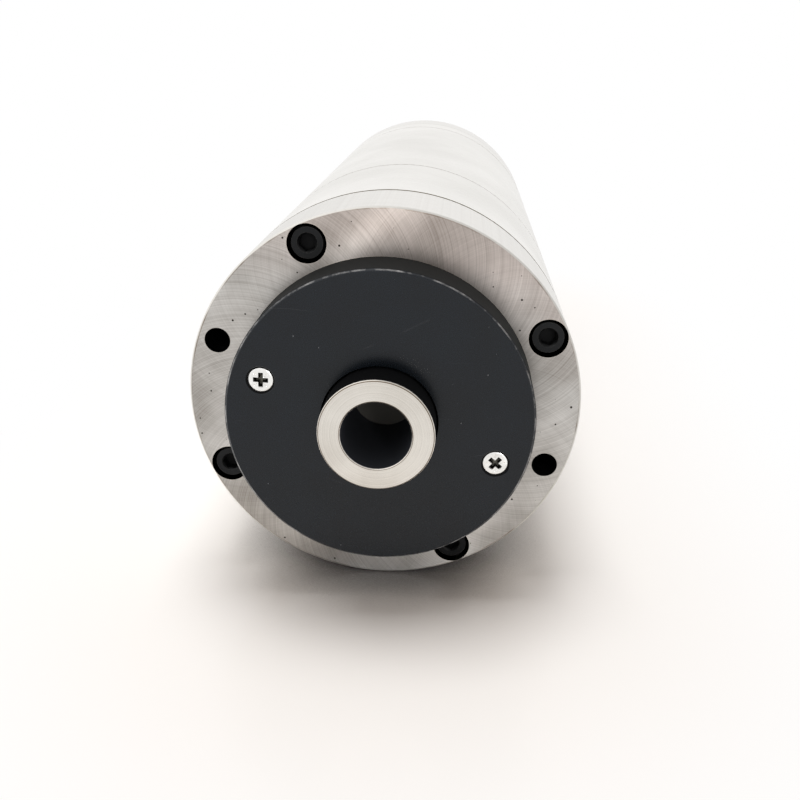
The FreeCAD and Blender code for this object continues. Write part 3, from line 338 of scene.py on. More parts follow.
def helix_tree() -> bpy.types.NodeTree:
    """Make the tree that draws the ridge of a thread along a helix on the Y axis.

    Returns:
        The tree. Its radius is the helix's own, and its ridge is the radius of the ridge's section.
    """
    tree = new_tree("thread_ridge", {
        "Pitch": "Float", "Turns": "Float", "Radius": "Float", "Ridge": "Float", "Finish": "Material",
    })
    given = add_node(tree, "NodeGroupInput").outputs
    height = add_node(tree, "ShaderNodeMath", [given["Pitch"], given["Turns"]], operation="MULTIPLY")
    spiral = add_node(tree, "GeometryNodeCurveSpiral", {
        "Resolution": RIDGE_STEPS, "Rotations": given["Turns"], "Start Radius": given["Radius"],
        "End Radius": given["Radius"], "Height": height,
    })
    laid = add_node(tree, "GeometryNodeTransform", {"Geometry": spiral, "Rotation": (-math.pi / 2, 0, 0)})
    section = add_node(tree, "GeometryNodeCurvePrimitiveCircle",
                       {"Resolution": RIDGE_CORNERS, "Radius": given["Ridge"]})
    ridge = add_node(tree, "GeometryNodeCurveToMesh",
                     {"Curve": laid, "Profile Curve": section, "Fill Caps": True})
    finish_tree(tree, ridge, given["Finish"])
    return tree


def wire_tree() -> bpy.types.NodeTree:
    """Make the tree that lays wires round the spindle over the section of a coil.

    Returns:
        The tree. Its section is a closed line, whose X is the radius and whose Y is the place along the
        axis.
    """
    tree = new_tree("end_turn_wires", {
        "Section": "Geometry", "Wires": "Int", "Wire Diameter": "Float", "Wander": "Float",
        "Finish": "Material",
    })
    given = add_node(tree, "NodeGroupInput").outputs
    outline = add_node(tree, "GeometryNodeMeshToCurve", [given["Section"]])
    starts = add_node(tree, "GeometryNodeResampleCurve", {"Curve": outline, "Count": given["Wires"]})
    kept = tree.nodes.new("GeometryNodeCaptureAttribute")
    kept.capture_items.new("VECTOR", "start")
    tree.links.new(starts.outputs[0], kept.inputs[0])
    tree.links.new(add_node(tree, "GeometryNodeInputPosition").outputs[0], kept.inputs[1])
    start = add_node(tree, "ShaderNodeSeparateXYZ", [kept.outputs[1]])
    spot = add_node(tree, "ShaderNodeCombineXYZ", {"Y": start.outputs["Y"]})
    on_axis = add_node(tree, "GeometryNodeSetPosition", {"Geometry": kept.outputs[0], "Position": spot})
    size = add_node(tree, "ShaderNodeCombineXYZ", [start.outputs["X"], start.outputs["X"], 1.0])
    loop = add_node(tree, "GeometryNodeCurvePrimitiveCircle", {"Resolution": WIRE_STEPS, "Radius": 1.0})
    loops = add_node(tree, "GeometryNodeInstanceOnPoints", {
        "Points": on_axis, "Instance": loop, "Rotation": (math.pi / 2, 0, 0), "Scale": size,
    })
    real = add_node(tree, "GeometryNodeRealizeInstances", [loops])
    noise = add_node(tree, "ShaderNodeTexNoise", {"Scale": WIRE_WAVES, "Detail": 1.0})
    shift = add_node(tree, "ShaderNodeVectorMath", [noise.outputs["Color"], (0.5, 0.5, 0.5)],
                     operation="SUBTRACT")
    shift = add_node(tree, "ShaderNodeVectorMath", {0: shift, "Scale": given["Wander"]}, operation="SCALE")
    wandered = add_node(tree, "GeometryNodeSetPosition", {"Geometry": real, "Offset": shift})
    half = add_node(tree, "ShaderNodeMath", [given["Wire Diameter"], 0.5], operation="MULTIPLY")
    section = add_node(tree, "GeometryNodeCurvePrimitiveCircle",
                       {"Resolution": WIRE_CORNERS, "Radius": half})
    wires = add_node(tree, "GeometryNodeCurveToMesh", {"Curve": wandered, "Profile Curve": section})
    finish_tree(tree, wires, given["Finish"])
    return tree


def grow(name: str, tree: bpy.types.NodeTree, settings: Dict,
         mesh: Optional[bpy.types.Mesh] = None) -> bpy.types.Mesh:
    """Run a tree once and keep what it made as a plain mesh.

    Args:
        name: the new mesh's name.
        tree: the tree to run.
        settings: the value of each named input.
        mesh: the piece that the tree starts from, where it needs one.

    Returns:
        The plain mesh.
    """
    host = add_object(name + "_host", mesh or bpy.data.meshes.new(name + "_host"))
    modifier = host.modifiers.new("layout", "NODES")
    modifier.node_group = tree
    for item in tree.interface.items_tree:
        if item.in_out == "INPUT" and item.name in settings:
            modifier[item.identifier] = settings[item.name]
    graph = bpy.context.evaluated_depsgraph_get()
    grown = bpy.data.meshes.new_from_object(host.evaluated_get(graph))
    grown.name = name
    for index in reversed(range(len(grown.materials))):
        if grown.materials[index] is None:
            grown.materials.pop(index=index)
    bpy.data.objects.remove(host)
    return grown


def keep_piece(name: str, mesh: bpy.types.Mesh, stands_for: Sequence[str] = ()) -> None:
    """Add a finished piece, let it ride on the housing and report it.

    Args:
        name: the piece's name.
        mesh: its mesh, with its material.
        stands_for: the CAD nodes that it replaces.
    """
    piece = add_object(name, mesh)
    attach(piece, HOUSING)
    if stands_for:
        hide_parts(*stands_for)
    LOG.info("%s: %d faces on %s", name, len(mesh.polygons), HOUSING)


# Finishes

@dataclass(frozen=True)
class Finish:
    """A material and how its surface was made.

    The marks of the tool or the grain make a bump and a small change of roughness and shade. The stain is
    a slow change between two colours. The wear shows the edge colour where two faces meet. A span is where
    in a pattern's range a change begins and ends, and a share is how much there is of it.
    """

    name: str
    colour: str
    stain: str
    roughness: float
    metallic: float = 1.0
    lay: Lay = Lay.RINGS
    mark_mm: float = 0.4
    mark_depth_mm: float = 0.01
    mark_shade: float = 0.35
    mark_span: Span = (0.25, 0.75)
    stain_mm: float = 14.0
    stain_spread: float = 0.13
    mark_spread: float = 0.15
    unevenness: float = 0.12
    edge: str = ""
    edge_mm: float = 0.25
    edge_span: Span = (0.93, 1.02)
    edge_share: float = 0.8
    rub_mm: float = 1.25
    rub_share: float = 0.12
    dot_span: Span = (0.75, 1.0)
    dot_size: float = 0.09
    specular: float = 0.5

    def place(self, tree: bpy.types.NodeTree) -> bpy.types.Node:
        """Add the place on the object, in millimetres."""
        spot = add_node(tree, "ShaderNodeTexCoord").outputs["Object"]
        return add_node(tree, "ShaderNodeVectorMath", {0: spot, "Scale": 1 / MM}, operation="SCALE")

    def from_axis(self, tree: bpy.types.NodeTree, spot: Source) -> bpy.types.Node:
        """Add the way from the spindle axis to a spot, square to the axis, in millimetres."""
        return add_node(tree, "ShaderNodeVectorMath", [spot, SQUARE_TO_AXIS], operation="MULTIPLY")

    def radius(self, tree: bpy.types.NodeTree, spot: Source) -> bpy.types.NodeSocket:
        """Add the distance from the spindle axis, in millimetres."""
        flat = self.from_axis(tree, spot)
        return add_node(tree, "ShaderNodeVectorMath", [flat], operation="LENGTH").outputs["Value"]

    def along(self, tree: bpy.types.NodeTree, spot: Source) -> bpy.types.NodeSocket:
        """Add the place along the spindle axis, in millimetres."""
        return add_node(tree, "ShaderNodeSeparateXYZ", [spot]).outputs["Y"]

    def within(self, tree: bpy.types.NodeTree, value: Source, middle: float, reach: float,
               soft: float) -> bpy.types.Node:
        """Add a mask that is 1 where a value is near another.

        Args:
            tree: the material's node tree.
            value: the value.
            middle: what it is compared with.
            reach: how far it may be from that.
            soft: over what distance on each side the mask fades.

        Returns:
            A node with the mask.
        """
        gap = add_node(tree, "ShaderNodeMath", [value, middle], operation="SUBTRACT")
        gap = add_node(tree, "ShaderNodeMath", [gap], operation="ABSOLUTE")
        return add_node(tree, "ShaderNodeMapRange", [gap, reach - soft, reach + soft, *FADING])

    def hollow(self, tree: bpy.types.NodeTree, spot: Source, reach: float, depth: float) -> bpy.types.Node:
        """Add a mask that is 1 below the face of a disc, as in its holes.

        Args:
            tree: the material's node tree.
            spot: the place in millimetres.
            reach: the radius past which the disc's own rim lies.
            depth: the place along the axis where the holes begin.

        Returns:
            A node with the mask.
        """
        inside = add_node(tree, "ShaderNodeMath", [self.radius(tree, spot), reach], operation="LESS_THAN")
        deep = add_node(tree, "ShaderNodeMath", [self.along(tree, spot), depth], operation="GREATER_THAN")
        return add_node(tree, "ShaderNodeMath", [inside, deep], operation="MULTIPLY")

    def blend(self, tree: bpy.types.NodeTree, share: Source, first: Union[Source, str],
              second: Union[Source, str]) -> bpy.types.NodeSocket:
        """Add a blend of two colours.

        Args:
            tree: the material's node tree.
            share: how much of the second colour there is.
            first: the first colour, as a socket or a hex value.
            second: the second colour, in the same way.

        Returns:
            The blended colour.
        """
        colours = [linear(colour) if isinstance(colour, str) else colour for colour in (first, second)]
        mix = add_node(tree, "ShaderNodeMix", {0: share, 6: colours[0], 7: colours[1]}, data_type="RGBA")
        return mix.outputs[2]

    def dotted(self, tree: bpy.types.NodeTree, cells: bpy.types.Node, colour: Source,
               dot_colour: str) -> bpy.types.NodeSocket:
        """Add small dots in a few cells of a pattern, each of its own size.

        Args:
            tree: the material's node tree.
            cells: the pattern, with a colour drawn for each cell.
            colour: the colour between the dots.
            dot_colour: the colour of the dots.

        Returns:
            The colour with its dots.
        """
        chance = add_node(tree, "ShaderNodeSeparateXYZ", [cells.outputs["Color"]]).outputs["X"]
        size = add_node(tree, "ShaderNodeMapRange", [chance, *self.dot_span, 0.0, self.dot_size])
        dot = add_node(tree, "ShaderNodeMath", [cells.outputs["Distance"], size], operation="LESS_THAN")
        return self.blend(tree, dot, colour, dot_colour)

    def marks(self, tree: bpy.types.NodeTree, spot: Source) -> bpy.types.NodeSocket:
        """Add the height of the tool marks or grain.

        Args:
            tree: the material's node tree.
            spot: the place in millimetres.

        Returns:
            The height, from 0 to 1.
        """
        if self.lay is Lay.GRAIN:
            grain = add_node(tree, "ShaderNodeTexNoise",
                             {"Vector": spot, "Scale": 1 / self.mark_mm, "Detail": 3.0})
            return grain.outputs[0]
        line = self.along(tree, spot)
        if self.lay is Lay.RINGS:
            line = add_node(tree, "ShaderNodeMath", [self.radius(tree, spot), line], operation="ADD")
        lines = add_node(tree, "ShaderNodeTexNoise", {"W": line, "Scale": 1 / self.mark_mm, "Detail": 2.0},
                         noise_dimensions="1D")
        return lines.outputs[0]

    def tint(self, tree: bpy.types.NodeTree, spot: Source, height: Source) -> bpy.types.NodeSocket:
        """Add the colour with its slow stain and the shade of its marks.

        Args:
            tree: the material's node tree.
            spot: the place in millimetres.
            height: the height of the marks.

        Returns:
            The colour.
        """
        cloud = add_node(tree, "ShaderNodeTexNoise",
                         {"Vector": spot, "Scale": 1 / self.stain_mm, "Detail": 4.0})
        marked = add_node(tree, "ShaderNodeMath", [height, self.mark_shade, cloud],
                          operation="MULTIPLY_ADD")
        middle = 0.5 + self.mark_shade / 2
        spread = self.stain_spread + self.mark_shade * self.mark_spread
        share = add_node(tree, "ShaderNodeMapRange", [marked, middle - spread, middle + spread])
        return self.blend(tree, share, self.colour, self.stain)

    def worn(self, tree: bpy.types.NodeTree, spot: Source, colour: Source) -> Source:
        """Add the wear along the edges.

        Args:
            tree: the material's node tree.
            spot: the place in millimetres.
            colour: the colour away from the edges.

        Returns:
            The colour with its worn edges.
        """
        if not self.edge:
            return colour
        rounded = add_node(tree, "ShaderNodeBevel", {"Radius": self.edge_mm * MM}, samples=4)
        flat = add_node(tree, "ShaderNodeNewGeometry").outputs["Normal"]
        match = add_node(tree, "ShaderNodeVectorMath", [rounded, flat], operation="DOT_PRODUCT")
        rub = add_node(tree, "ShaderNodeTexNoise",
                       {"Vector": spot, "Scale": 1 / self.rub_mm, "Detail": 3.0})
        level = add_node(tree, "ShaderNodeMath", [rub, self.rub_share, match.outputs["Value"]],
                         operation="MULTIPLY_ADD")
        share = add_node(tree, "ShaderNodeMapRange", [level, *self.edge_span, self.edge_share, 0.0])
        return self.blend(tree, share, colour, self.edge)

    def surface(self, tree: bpy.types.NodeTree, spot: Source, height: Source) -> Dict:
        """Add what the shader takes besides its relief.

        Args:
            tree: the material's node tree.
            spot: the place in millimetres.
            height: the height of the marks.

        Returns:
            The shader's inputs by name.
        """
        smoothest = self.roughness * (1 - self.unevenness)
        roughest = self.roughness * (1 + self.unevenness)
        rough = add_node(tree, "ShaderNodeMapRange", [height, *self.mark_span, smoothest, roughest])
        return {
            "Base Color": self.worn(tree, spot, self.tint(tree, spot, height)),
            "Metallic": self.metallic,
            "Roughness": rough,
            "Specular IOR Level": self.specular,
        }

    @cache
    def build(self) -> bpy.types.Material:
        """Make the material, once for all the pieces that have it.

        Returns:
            The material.
        """
        material = bpy.data.materials.new(self.name)
        material.use_nodes = True
        tree = material.node_tree
        tree.nodes.clear()
        spot = self.place(tree)
        height = self.marks(tree, spot)
        relief = add_node(tree, "ShaderNodeBump",
                          {"Height": height, "Distance": self.mark_depth_mm * MM, "Strength": 1.0})
        inputs = self.surface(tree, spot, height)
        inputs["Normal"] = relief
        shader = add_node(tree, "ShaderNodeBsdfPrincipled", inputs)
        add_node(tree, "ShaderNodeOutputMaterial", {"Surface": shader})
        return material


@dataclass(frozen=True)
class ArcGroundFinish(Finish):
    """A face ground by a cup wheel, whose leading and trailing sides leave two sets of crossing arcs.

    The top of the face has a painted reflection, a warm tint that grows upward. Its pits are dark, its
    holes behind the face are painted near black as shade, and its rim is turned and greasy in patches. The
    real arcs stand about a tenth of a millimetre apart, and are drawn coarser so that they show.
    """

    wheel_radius_mm: float = 28.2
    wheel_offset_mm: float = 36.5
    arc_mm: float = 0.38
    arc_radius_mm: float = 44.0
    trailing_share: float = 0.3
    face_depth_mm: float = 0.04
    anisotropy: float = 0.95
    # Painted reflection: a warm brown tint multiplied in toward the top of the face
    painted_reflection_colour: str = "#FDEBE4"
    painted_reflection_mm: float = 14.0
    painted_reflection_way: Place = (0.3, 0.0, 0.95)
    painted_reflection_span_mm: Span = (27.0, 50.0)
    painted_reflection_share: float = 0.55
    pit_colour: str = "#3A3531"
    pit_gap_mm: float = 3.4
    # Painted shade: the counterbores and jack holes behind the face are near black and dull
    painted_bore_shade_colour: str = "#0C0C0D"
    painted_bore_shade_roughness: float = 0.85
    rim_radius_mm: float = 49.45
    rim_colour: str = "#E9E6E1"
    rim_stain: str = "#DCD9D3"
    rim_turned_mm: float = 49.6
    rim_line_mm: float = 0.6
    rim_line_span: Span = (0.35, 0.65)
    oil_colour: str = "#6A5844"
    oil_radius_mm: float = 49.52
    oil_reach_mm: float = 0.14
    oil_soft_mm: float = 0.06
    oil_per_mm: float = 0.12
    oil_span: Span = (0.46, 0.68)
    oil_share: Span = (0.04, 0.7)

    def wheel(self, tree: bpy.types.NodeTree, spot: Source, side: WheelSide) -> bpy.types.Node:
        """Add where the wheel stood when it cut a spot, as a direction from the axis.

        Args:
            tree: the material's node tree.
            spot: the place in millimetres.
            side: the side of the wheel that left the arcs.

        Returns:
            A node with the direction, which is the same all along one arc.
        """
        radius = self.radius(tree, spot)
        square = add_node(tree, "ShaderNodeMath", [radius, radius], operation="MULTIPLY")
        reach = self.wheel_offset_mm ** 2 - self.wheel_radius_mm ** 2
        top = add_node(tree, "ShaderNodeMath", [square, reach], operation="ADD")
        low = add_node(tree, "ShaderNodeMath", [radius, 2 * self.wheel_offset_mm], operation="MULTIPLY")
        lean = add_node(tree, "ShaderNodeMath", [top, low], operation="DIVIDE")
        angle = add_node(tree, "ShaderNodeMath", [lean], operation="ARCCOSINE")
        back = add_node(tree, "ShaderNodeMath", [angle, side.value], operation="MULTIPLY")
        outward = add_node(tree, "ShaderNodeVectorMath", [self.from_axis(tree, spot)],
                           operation="NORMALIZE")
        return add_node(tree, "ShaderNodeVectorRotate",
                        {"Vector": outward, "Axis": (0, 1, 0), "Angle": back})

    def marks(self, tree: bpy.types.NodeTree, spot: Source) -> bpy.types.NodeSocket:
        """Add the height of the arcs.

        Args:
            tree: the material's node tree.
            spot: the place in millimetres.

        Returns:
            The height, from 0 to 1.
        """
        leading, trailing = [add_node(tree, "ShaderNodeTexNoise", {
            "Vector": self.wheel(tree, spot, side), "Scale": self.arc_radius_mm / self.arc_mm,
            "Detail": 4.0, "Roughness": 0.65,
        }) for side in WheelSide]
        both = add_node(tree, "ShaderNodeMix", {0: self.trailing_share, 2: leading, 3: trailing})
        return both.outputs[0]

    def add_painted_reflection(self, tree: bpy.types.NodeTree, spot: Source, colour: Source) -> bpy.types.NodeSocket:
        """Add the painted reflection, a warm tint that grows toward the top of the face.

        Args:
            tree: the material's node tree.
            spot: the place in millimetres.
            colour: the colour below it.

        Returns:
            The colour with its painted reflection.
        """
        cloud = add_node(tree, "ShaderNodeTexNoise",
                         {"Vector": spot, "Scale": 1 / self.painted_reflection_mm, "Detail": 3.0})
        toward = add_node(tree, "ShaderNodeVectorMath", [spot, self.painted_reflection_way], operation="DOT_PRODUCT")
        level = add_node(tree, "ShaderNodeMath", [cloud, self.painted_reflection_mm, toward.outputs["Value"]],
                         operation="MULTIPLY_ADD")
        painted_reflection = add_node(tree, "ShaderNodeMapRange", [level, *self.painted_reflection_span_mm, 0.0, self.painted_reflection_share])
        tinted = add_node(tree, "ShaderNodeMix", {0: painted_reflection, 6: colour, 7: linear(self.painted_reflection_colour)},
                          data_type="RGBA", blend_type="MULTIPLY")
        return tinted.outputs[2]

    def pitted(self, tree: bpy.types.NodeTree, spot: Source, colour: Source) -> bpy.types.NodeSocket:
        """Add a few small dark pits.

        Args:
            tree: the material's node tree.
            spot: the place in millimetres.
            colour: the colour between them.

        Returns:
            The colour with its pits.
        """
        parts = add_node(tree, "ShaderNodeSeparateXYZ", [spot])
        face = add_node(tree, "ShaderNodeCombineXYZ", {"X": parts.outputs["X"], "Y": parts.outputs["Z"]})
        cells = add_node(tree, "ShaderNodeTexVoronoi", {"Vector": face, "Scale": 1 / self.pit_gap_mm},
                         voronoi_dimensions="2D")
        return self.dotted(tree, cells, colour, self.pit_colour)

    def rimmed(self, tree: bpy.types.NodeTree, spot: Source, colour: Source) -> bpy.types.NodeSocket:
        """Add the turned rim, with patches of dirty oil where it meets the face.

        Args:
            tree: the material's node tree.
            spot: the place in millimetres.
            colour: the colour of the face.

        Returns:
            The colour with its rim.
        """
        radius = self.radius(tree, spot)
        rim = add_node(tree, "ShaderNodeMath", [radius, self.rim_turned_mm], operation="GREATER_THAN")
        lines = add_node(tree, "ShaderNodeTexNoise",
                         {"W": self.along(tree, spot), "Scale": 1 / self.rim_line_mm, "Detail": 3.0},
                         noise_dimensions="1D")
        share = add_node(tree, "ShaderNodeMapRange", [lines, *self.rim_line_span])
        colour = self.blend(tree, rim, colour, self.blend(tree, share, self.rim_colour, self.rim_stain))
        patch = add_node(tree, "ShaderNodeTexNoise",
                         {"Vector": spot, "Scale": self.oil_per_mm, "Detail": 3.0})
        oily = add_node(tree, "ShaderNodeMapRange", [patch, *self.oil_span, *self.oil_share])
        line = self.within(tree, radius, self.oil_radius_mm, self.oil_reach_mm, self.oil_soft_mm)
        oily = add_node(tree, "ShaderNodeMath", [oily, line], operation="MULTIPLY")
        return self.blend(tree, oily, colour, self.oil_colour)

    def surface(self, tree: bpy.types.NodeTree, spot: Source, height: Source) -> Dict:
        """Add the face's painted reflection, pits, holes painted dark as shade and rim, and the direction
        of its sheen.

        Args:
            tree: the material's node tree.
            spot: the place in millimetres.
            height: the height of the arcs.

        Returns:
            The shader's inputs by name.
        """
        inputs = super().surface(tree, spot, height)
        # Painted reflection toward the top of the face, below the real pits
        colour = self.pitted(tree, spot, self.add_painted_reflection(tree, spot, inputs["Base Color"]))
        # Painted shade: the holes behind the face get the dark colour and roughness
        bore = self.hollow(tree, spot, self.rim_radius_mm, self.face_depth_mm)
        colour = self.blend(tree, bore, colour, self.painted_bore_shade_colour)
        inputs["Base Color"] = self.rimmed(tree, spot, colour)
        inputs["Roughness"] = add_node(tree, "ShaderNodeMapRange",
                                       {0: bore, 3: inputs["Roughness"], 4: self.painted_bore_shade_roughness})
        wheel = self.wheel(tree, spot, WheelSide.LEADING)
        centre = add_node(tree, "ShaderNodeVectorMath", {0: wheel, "Scale": self.wheel_offset_mm},
                          operation="SCALE")
        spoke = add_node(tree, "ShaderNodeVectorMath", [self.from_axis(tree, spot), centre],
                         operation="SUBTRACT")
        inputs["Tangent"] = add_node(tree, "ShaderNodeVectorMath", [spoke], operation="NORMALIZE")
        inputs["Anisotropic"] = self.anisotropy
        return inputs


@dataclass(frozen=True)
class Band:
    """A ring of a turned surface with a colour of its own, such as grime in a seam, or painted shade in a
    bore or a recess.
    """

    radius_mm: Span
    along_mm: Span
    colour: str


@dataclass(frozen=True)
class BandedFinish(Finish):
    """A turned surface with bands of another shade."""

    bands: Tuple[Band, ...] = ()
    band_roughness: float = 0.7
    band_soft_mm: float = 0.04

    def between(self, tree: bpy.types.NodeTree, value: Source, span: Span) -> bpy.types.Node:
        """Add a mask that is 1 between two values."""
        return self.within(tree, value, sum(span) / 2, (span[1] - span[0]) / 2, self.band_soft_mm)

    def surface(self, tree: bpy.types.NodeTree, spot: Source, height: Source) -> Dict:
        """Add the bands to the plain surface.

        Args:
            tree: the material's node tree.
            spot: the place in millimetres.
            height: the height of the marks.

        Returns:
            The shader's inputs by name.
        """
        inputs = super().surface(tree, spot, height)
        radius = self.radius(tree, spot)
        along = self.along(tree, spot)
        for band in self.bands:
            deep = self.between(tree, radius, band.radius_mm)
            long = self.between(tree, along, band.along_mm)
            share = add_node(tree, "ShaderNodeMath", [deep, long], operation="MULTIPLY")
            inputs["Base Color"] = self.blend(tree, share, inputs["Base Color"], band.colour)
            inputs["Roughness"] = add_node(tree, "ShaderNodeMapRange",
                                           {0: share, 3: inputs["Roughness"], 4: self.band_roughness})
        return inputs


@dataclass(frozen=True)
class AnodisedFinish(Finish):
    """Dyed anodised aluminium, with fine dust, a few hair scratches, painted shade in its holes and a
    painted highlight in patches along its edge.
    """

    speck_colour: str = "#7C8086"
    speck_gap_mm: float = 2.0
    scratch_colour: str = "#5A5D63"
    scratch_deg: float = 38.0
    scratch_per_mm: Place = (0.012, 0.02, 0.09)
    scratch_width: float = 0.004
    bend_per_mm: float = 0.04
    bend_mm: Place = (6.0, 0.0, 6.0)
    patch_per_mm: float = 0.09
    patch_span: Span = (0.56, 0.66)
    patch_share: float = 0.35
    # Painted shade: the holes behind the cover's face are near black and fully rough
    painted_hole_shade_colour: str = "#040405"
    painted_hole_shade_roughness: float = 1.0
    hole_reach_mm: float = 36.0
    face_mm: float = -12.4
    # Painted highlight: a pale colour in patches along the chamfered rim, in place of its glint
    rim_colour: str = "#C4C6C8"
    rim_roughness: float = 0.1
    rim_mm: float = 37.72
    rim_reach_mm: float = 0.15
    rim_soft_mm: float = 0.05
    highlight_patch_per_mm: float = 0.35
    highlight_patch_span: Span = (0.45, 0.72)
    highlight_patch_share: Span = (0.04, 0.9)
    wall_colour: str = "#070807"
    wall_roughness: float = 0.9
    wall_mm: float = 37.93

    def scratched(self, tree: bpy.types.NodeTree, spot: Source, colour: Source) -> bpy.types.NodeSocket:
        """Add long bent hair scratches, in patches.

        Args:
            tree: the material's node tree.
            spot: the place in millimetres.
            colour: the colour between them.

        Returns:
            The colour with its scratches.
        """
        bent = add_node(tree, "ShaderNodeTexNoise",
                        {"Vector": spot, "Scale": self.bend_per_mm, "Detail": 1.0})
        pulled = add_node(tree, "ShaderNodeVectorMath", [bent.outputs["Color"], self.bend_mm, spot],
                          operation="MULTIPLY_ADD")
        laid = add_node(tree, "ShaderNodeMapping", {
            "Vector": pulled, "Rotation": (0, math.radians(self.scratch_deg), 0),
            "Scale": self.scratch_per_mm,
        })
        hairs = add_node(tree, "ShaderNodeTexVoronoi", {"Vector": laid, "Scale": 1.0},
                         feature="DISTANCE_TO_EDGE")
        near = add_node(tree, "ShaderNodeMapRange", [hairs, 0.0, self.scratch_width, *FADING])
        patch = add_node(tree, "ShaderNodeTexNoise",
                         {"Vector": spot, "Scale": self.patch_per_mm, "Detail": 2.0})
        some = add_node(tree, "ShaderNodeMapRange", [patch, *self.patch_span, 0.0, self.patch_share])
        share = add_node(tree, "ShaderNodeMath", [near, some], operation="MULTIPLY")
        return self.blend(tree, share, colour, self.scratch_colour)

    def surface(self, tree: bpy.types.NodeTree, spot: Source, height: Source) -> Dict:
        """Add the specks, scratches, painted shade in the holes, painted highlight on the edge and dull
        wall to the plain surface.

        Args:
            tree: the material's node tree.
            spot: the place in millimetres.
            height: the height of the grain.

        Returns:
            The shader's inputs by name.
        """
        inputs = super().surface(tree, spot, height)
        radius = self.radius(tree, spot)
        cells = add_node(tree, "ShaderNodeTexVoronoi", {"Vector": spot, "Scale": 1 / self.speck_gap_mm})
        colour = self.dotted(tree, cells, inputs["Base Color"], self.speck_colour)
        colour = self.scratched(tree, spot, colour)
        # Painted shade in the holes behind the face
        hole_shade = self.hollow(tree, spot, self.hole_reach_mm, self.face_mm)
        colour = self.blend(tree, hole_shade, colour, self.painted_hole_shade_colour)
        rough = add_node(tree, "ShaderNodeMapRange",
                         {0: hole_shade, 3: inputs["Roughness"], 4: self.painted_hole_shade_roughness})
        # Painted highlight along the chamfered rim, in patches
        rim = self.within(tree, radius, self.rim_mm, self.rim_reach_mm, self.rim_soft_mm)
        highlight_patches = add_node(tree, "ShaderNodeTexNoise",
                          {"Vector": spot, "Scale": self.highlight_patch_per_mm, "Detail": 4.0})
        painted_highlight = add_node(tree, "ShaderNodeMapRange", [highlight_patches, *self.highlight_patch_span, *self.highlight_patch_share])
        painted_highlight = add_node(tree, "ShaderNodeMath", [rim, painted_highlight], operation="MULTIPLY")
        colour = self.blend(tree, painted_highlight, colour, self.rim_colour)
        rough = add_node(tree, "ShaderNodeMapRange", {0: rim, 3: rough, 4: self.rim_roughness})
        wall = add_node(tree, "ShaderNodeMath", [radius, self.wall_mm], operation="GREATER_THAN")
        inputs["Base Color"] = self.blend(tree, wall, colour, self.wall_colour)
        inputs["Roughness"] = add_node(tree, "ShaderNodeMapRange",
                                       {0: wall, 3: rough, 4: self.wall_roughness})
        return inputs


# Flange steel, ground across by a cup wheel: warm grey, with curved marks that catch the light in wedges,
# a painted reflection as a warm brown tint at the top, holes painted dark as shade, and a bright turned
# rim
FLANGE_STEEL = ArcGroundFinish("arc_ground_steel", "#D9D6D2", "#97928C", 0.34, mark_depth_mm=0.03,
                               mark_shade=0.9, stain_mm=20, unevenness=0.25, edge="#DAD5C8", edge_mm=0.3)
# Tool steel, ground on both faces: pale and even, so that its fine rings only show as a sheen
GROUND_STEEL = Finish("ground_ring_steel", "#B9B4AE", "#A39E98", 0.30, edge="#DAD6D0")
# Body steel, cylindrically ground: near white under the lamps, with brown oil in its seams. Its grinding
# lines are finer than a tenth of a millimetre, and are drawn coarser so that they show
BODY_STEEL = BandedFinish("ground_body_steel", "#F5F3EF", "#E6E4DF", 0.3, mark_mm=0.6, mark_depth_mm=0.003,
                          stain_mm=40, bands=(
                              Band((49.0, 51.0), (24.6, 26.2), "#524313"),
                              Band((49.0, 51.0), (77.8, 78.3), "#8A8072"),
                              Band((49.0, 51.0), (213.8, 214.3), "#8A8072"),
                              Band((49.0, 51.0), (231.8, 232.3), "#8A8072"),
                          ))
# Rear cover steel, faced on a lathe: a shade darker than the body, with rings round its centre
FACED_STEEL = BandedFinish("face_turned_steel", "#D3D0CA", "#BEBAB3", 0.32, mark_mm=0.5,
                           mark_shade=0.6, stain_mm=25, edge="#E8E5DF", band_roughness=0.3,
                           bands=(Band((49.6, 51.0), (232.4, 253.0), "#EBE9E5"),))
# Hardened shaft steel, turned and polished: warm silver with fine rings, painted darker as shade in its
# bore, brown on the edges of its nose and black on its neck
SHAFT_STEEL = BandedFinish("turned_shaft_steel", "#E1DCD4", "#CFC9C0", 0.24, mark_mm=0.35,
                           mark_depth_mm=0.003, bands=(
                               # Painted shade: the bore's wall and floor are darker
                               Band((5.0, 8.62), (-20.6, 6.1), "#4A4C52"),
                               Band((0.0, 8.7), (6.05, 40.0), "#6B6863"),
                               Band((13.62, 13.8), (-21.0, -20.4), "#7A6A58"),
                               Band((8.72, 8.85), (-21.0, -20.5), "#6E5E4C"),
                               Band((13.75, 14.3), (-20.1, -11.0), "#202021"),
                           ))
# Through-hardened bearing steel, ground: bright and a little blue
BEARING_STEEL = Finish("ground_bearing_steel", "#BFC1C3", "#B0B2B5", 0.18, mark_mm=0.25,
                       mark_depth_mm=0.004)
# Bearing steel balls, lapped: as clear as a mirror
BALL_STEEL = Finish("lapped_ball_steel", "#C9CBCD", "#C4C6C8", 0.06, lay=Lay.GRAIN, mark_mm=0.5,
                    mark_depth_mm=0.0005)
# Alloy steel, blacked in a bath: a dull blue black, rubbed brighter on its edges, and painted darker as
# shade below the top of each screw head, in the sockets and counterbores
BLACK_OXIDE = BandedFinish("oxide_blackened_steel", "#0F1112", "#1B1C1F", 0.4, metallic=0.3, lay=Lay.GRAIN,
                           mark_mm=0.5, mark_depth_mm=0.006, edge="#5A5855", edge_mm=0.2, specular=0.3,
                           # Painted shade: darker below the top of each screw head
                           bands=(Band((0.0, 60.0), (1.3, 250.7), "#050506"),))
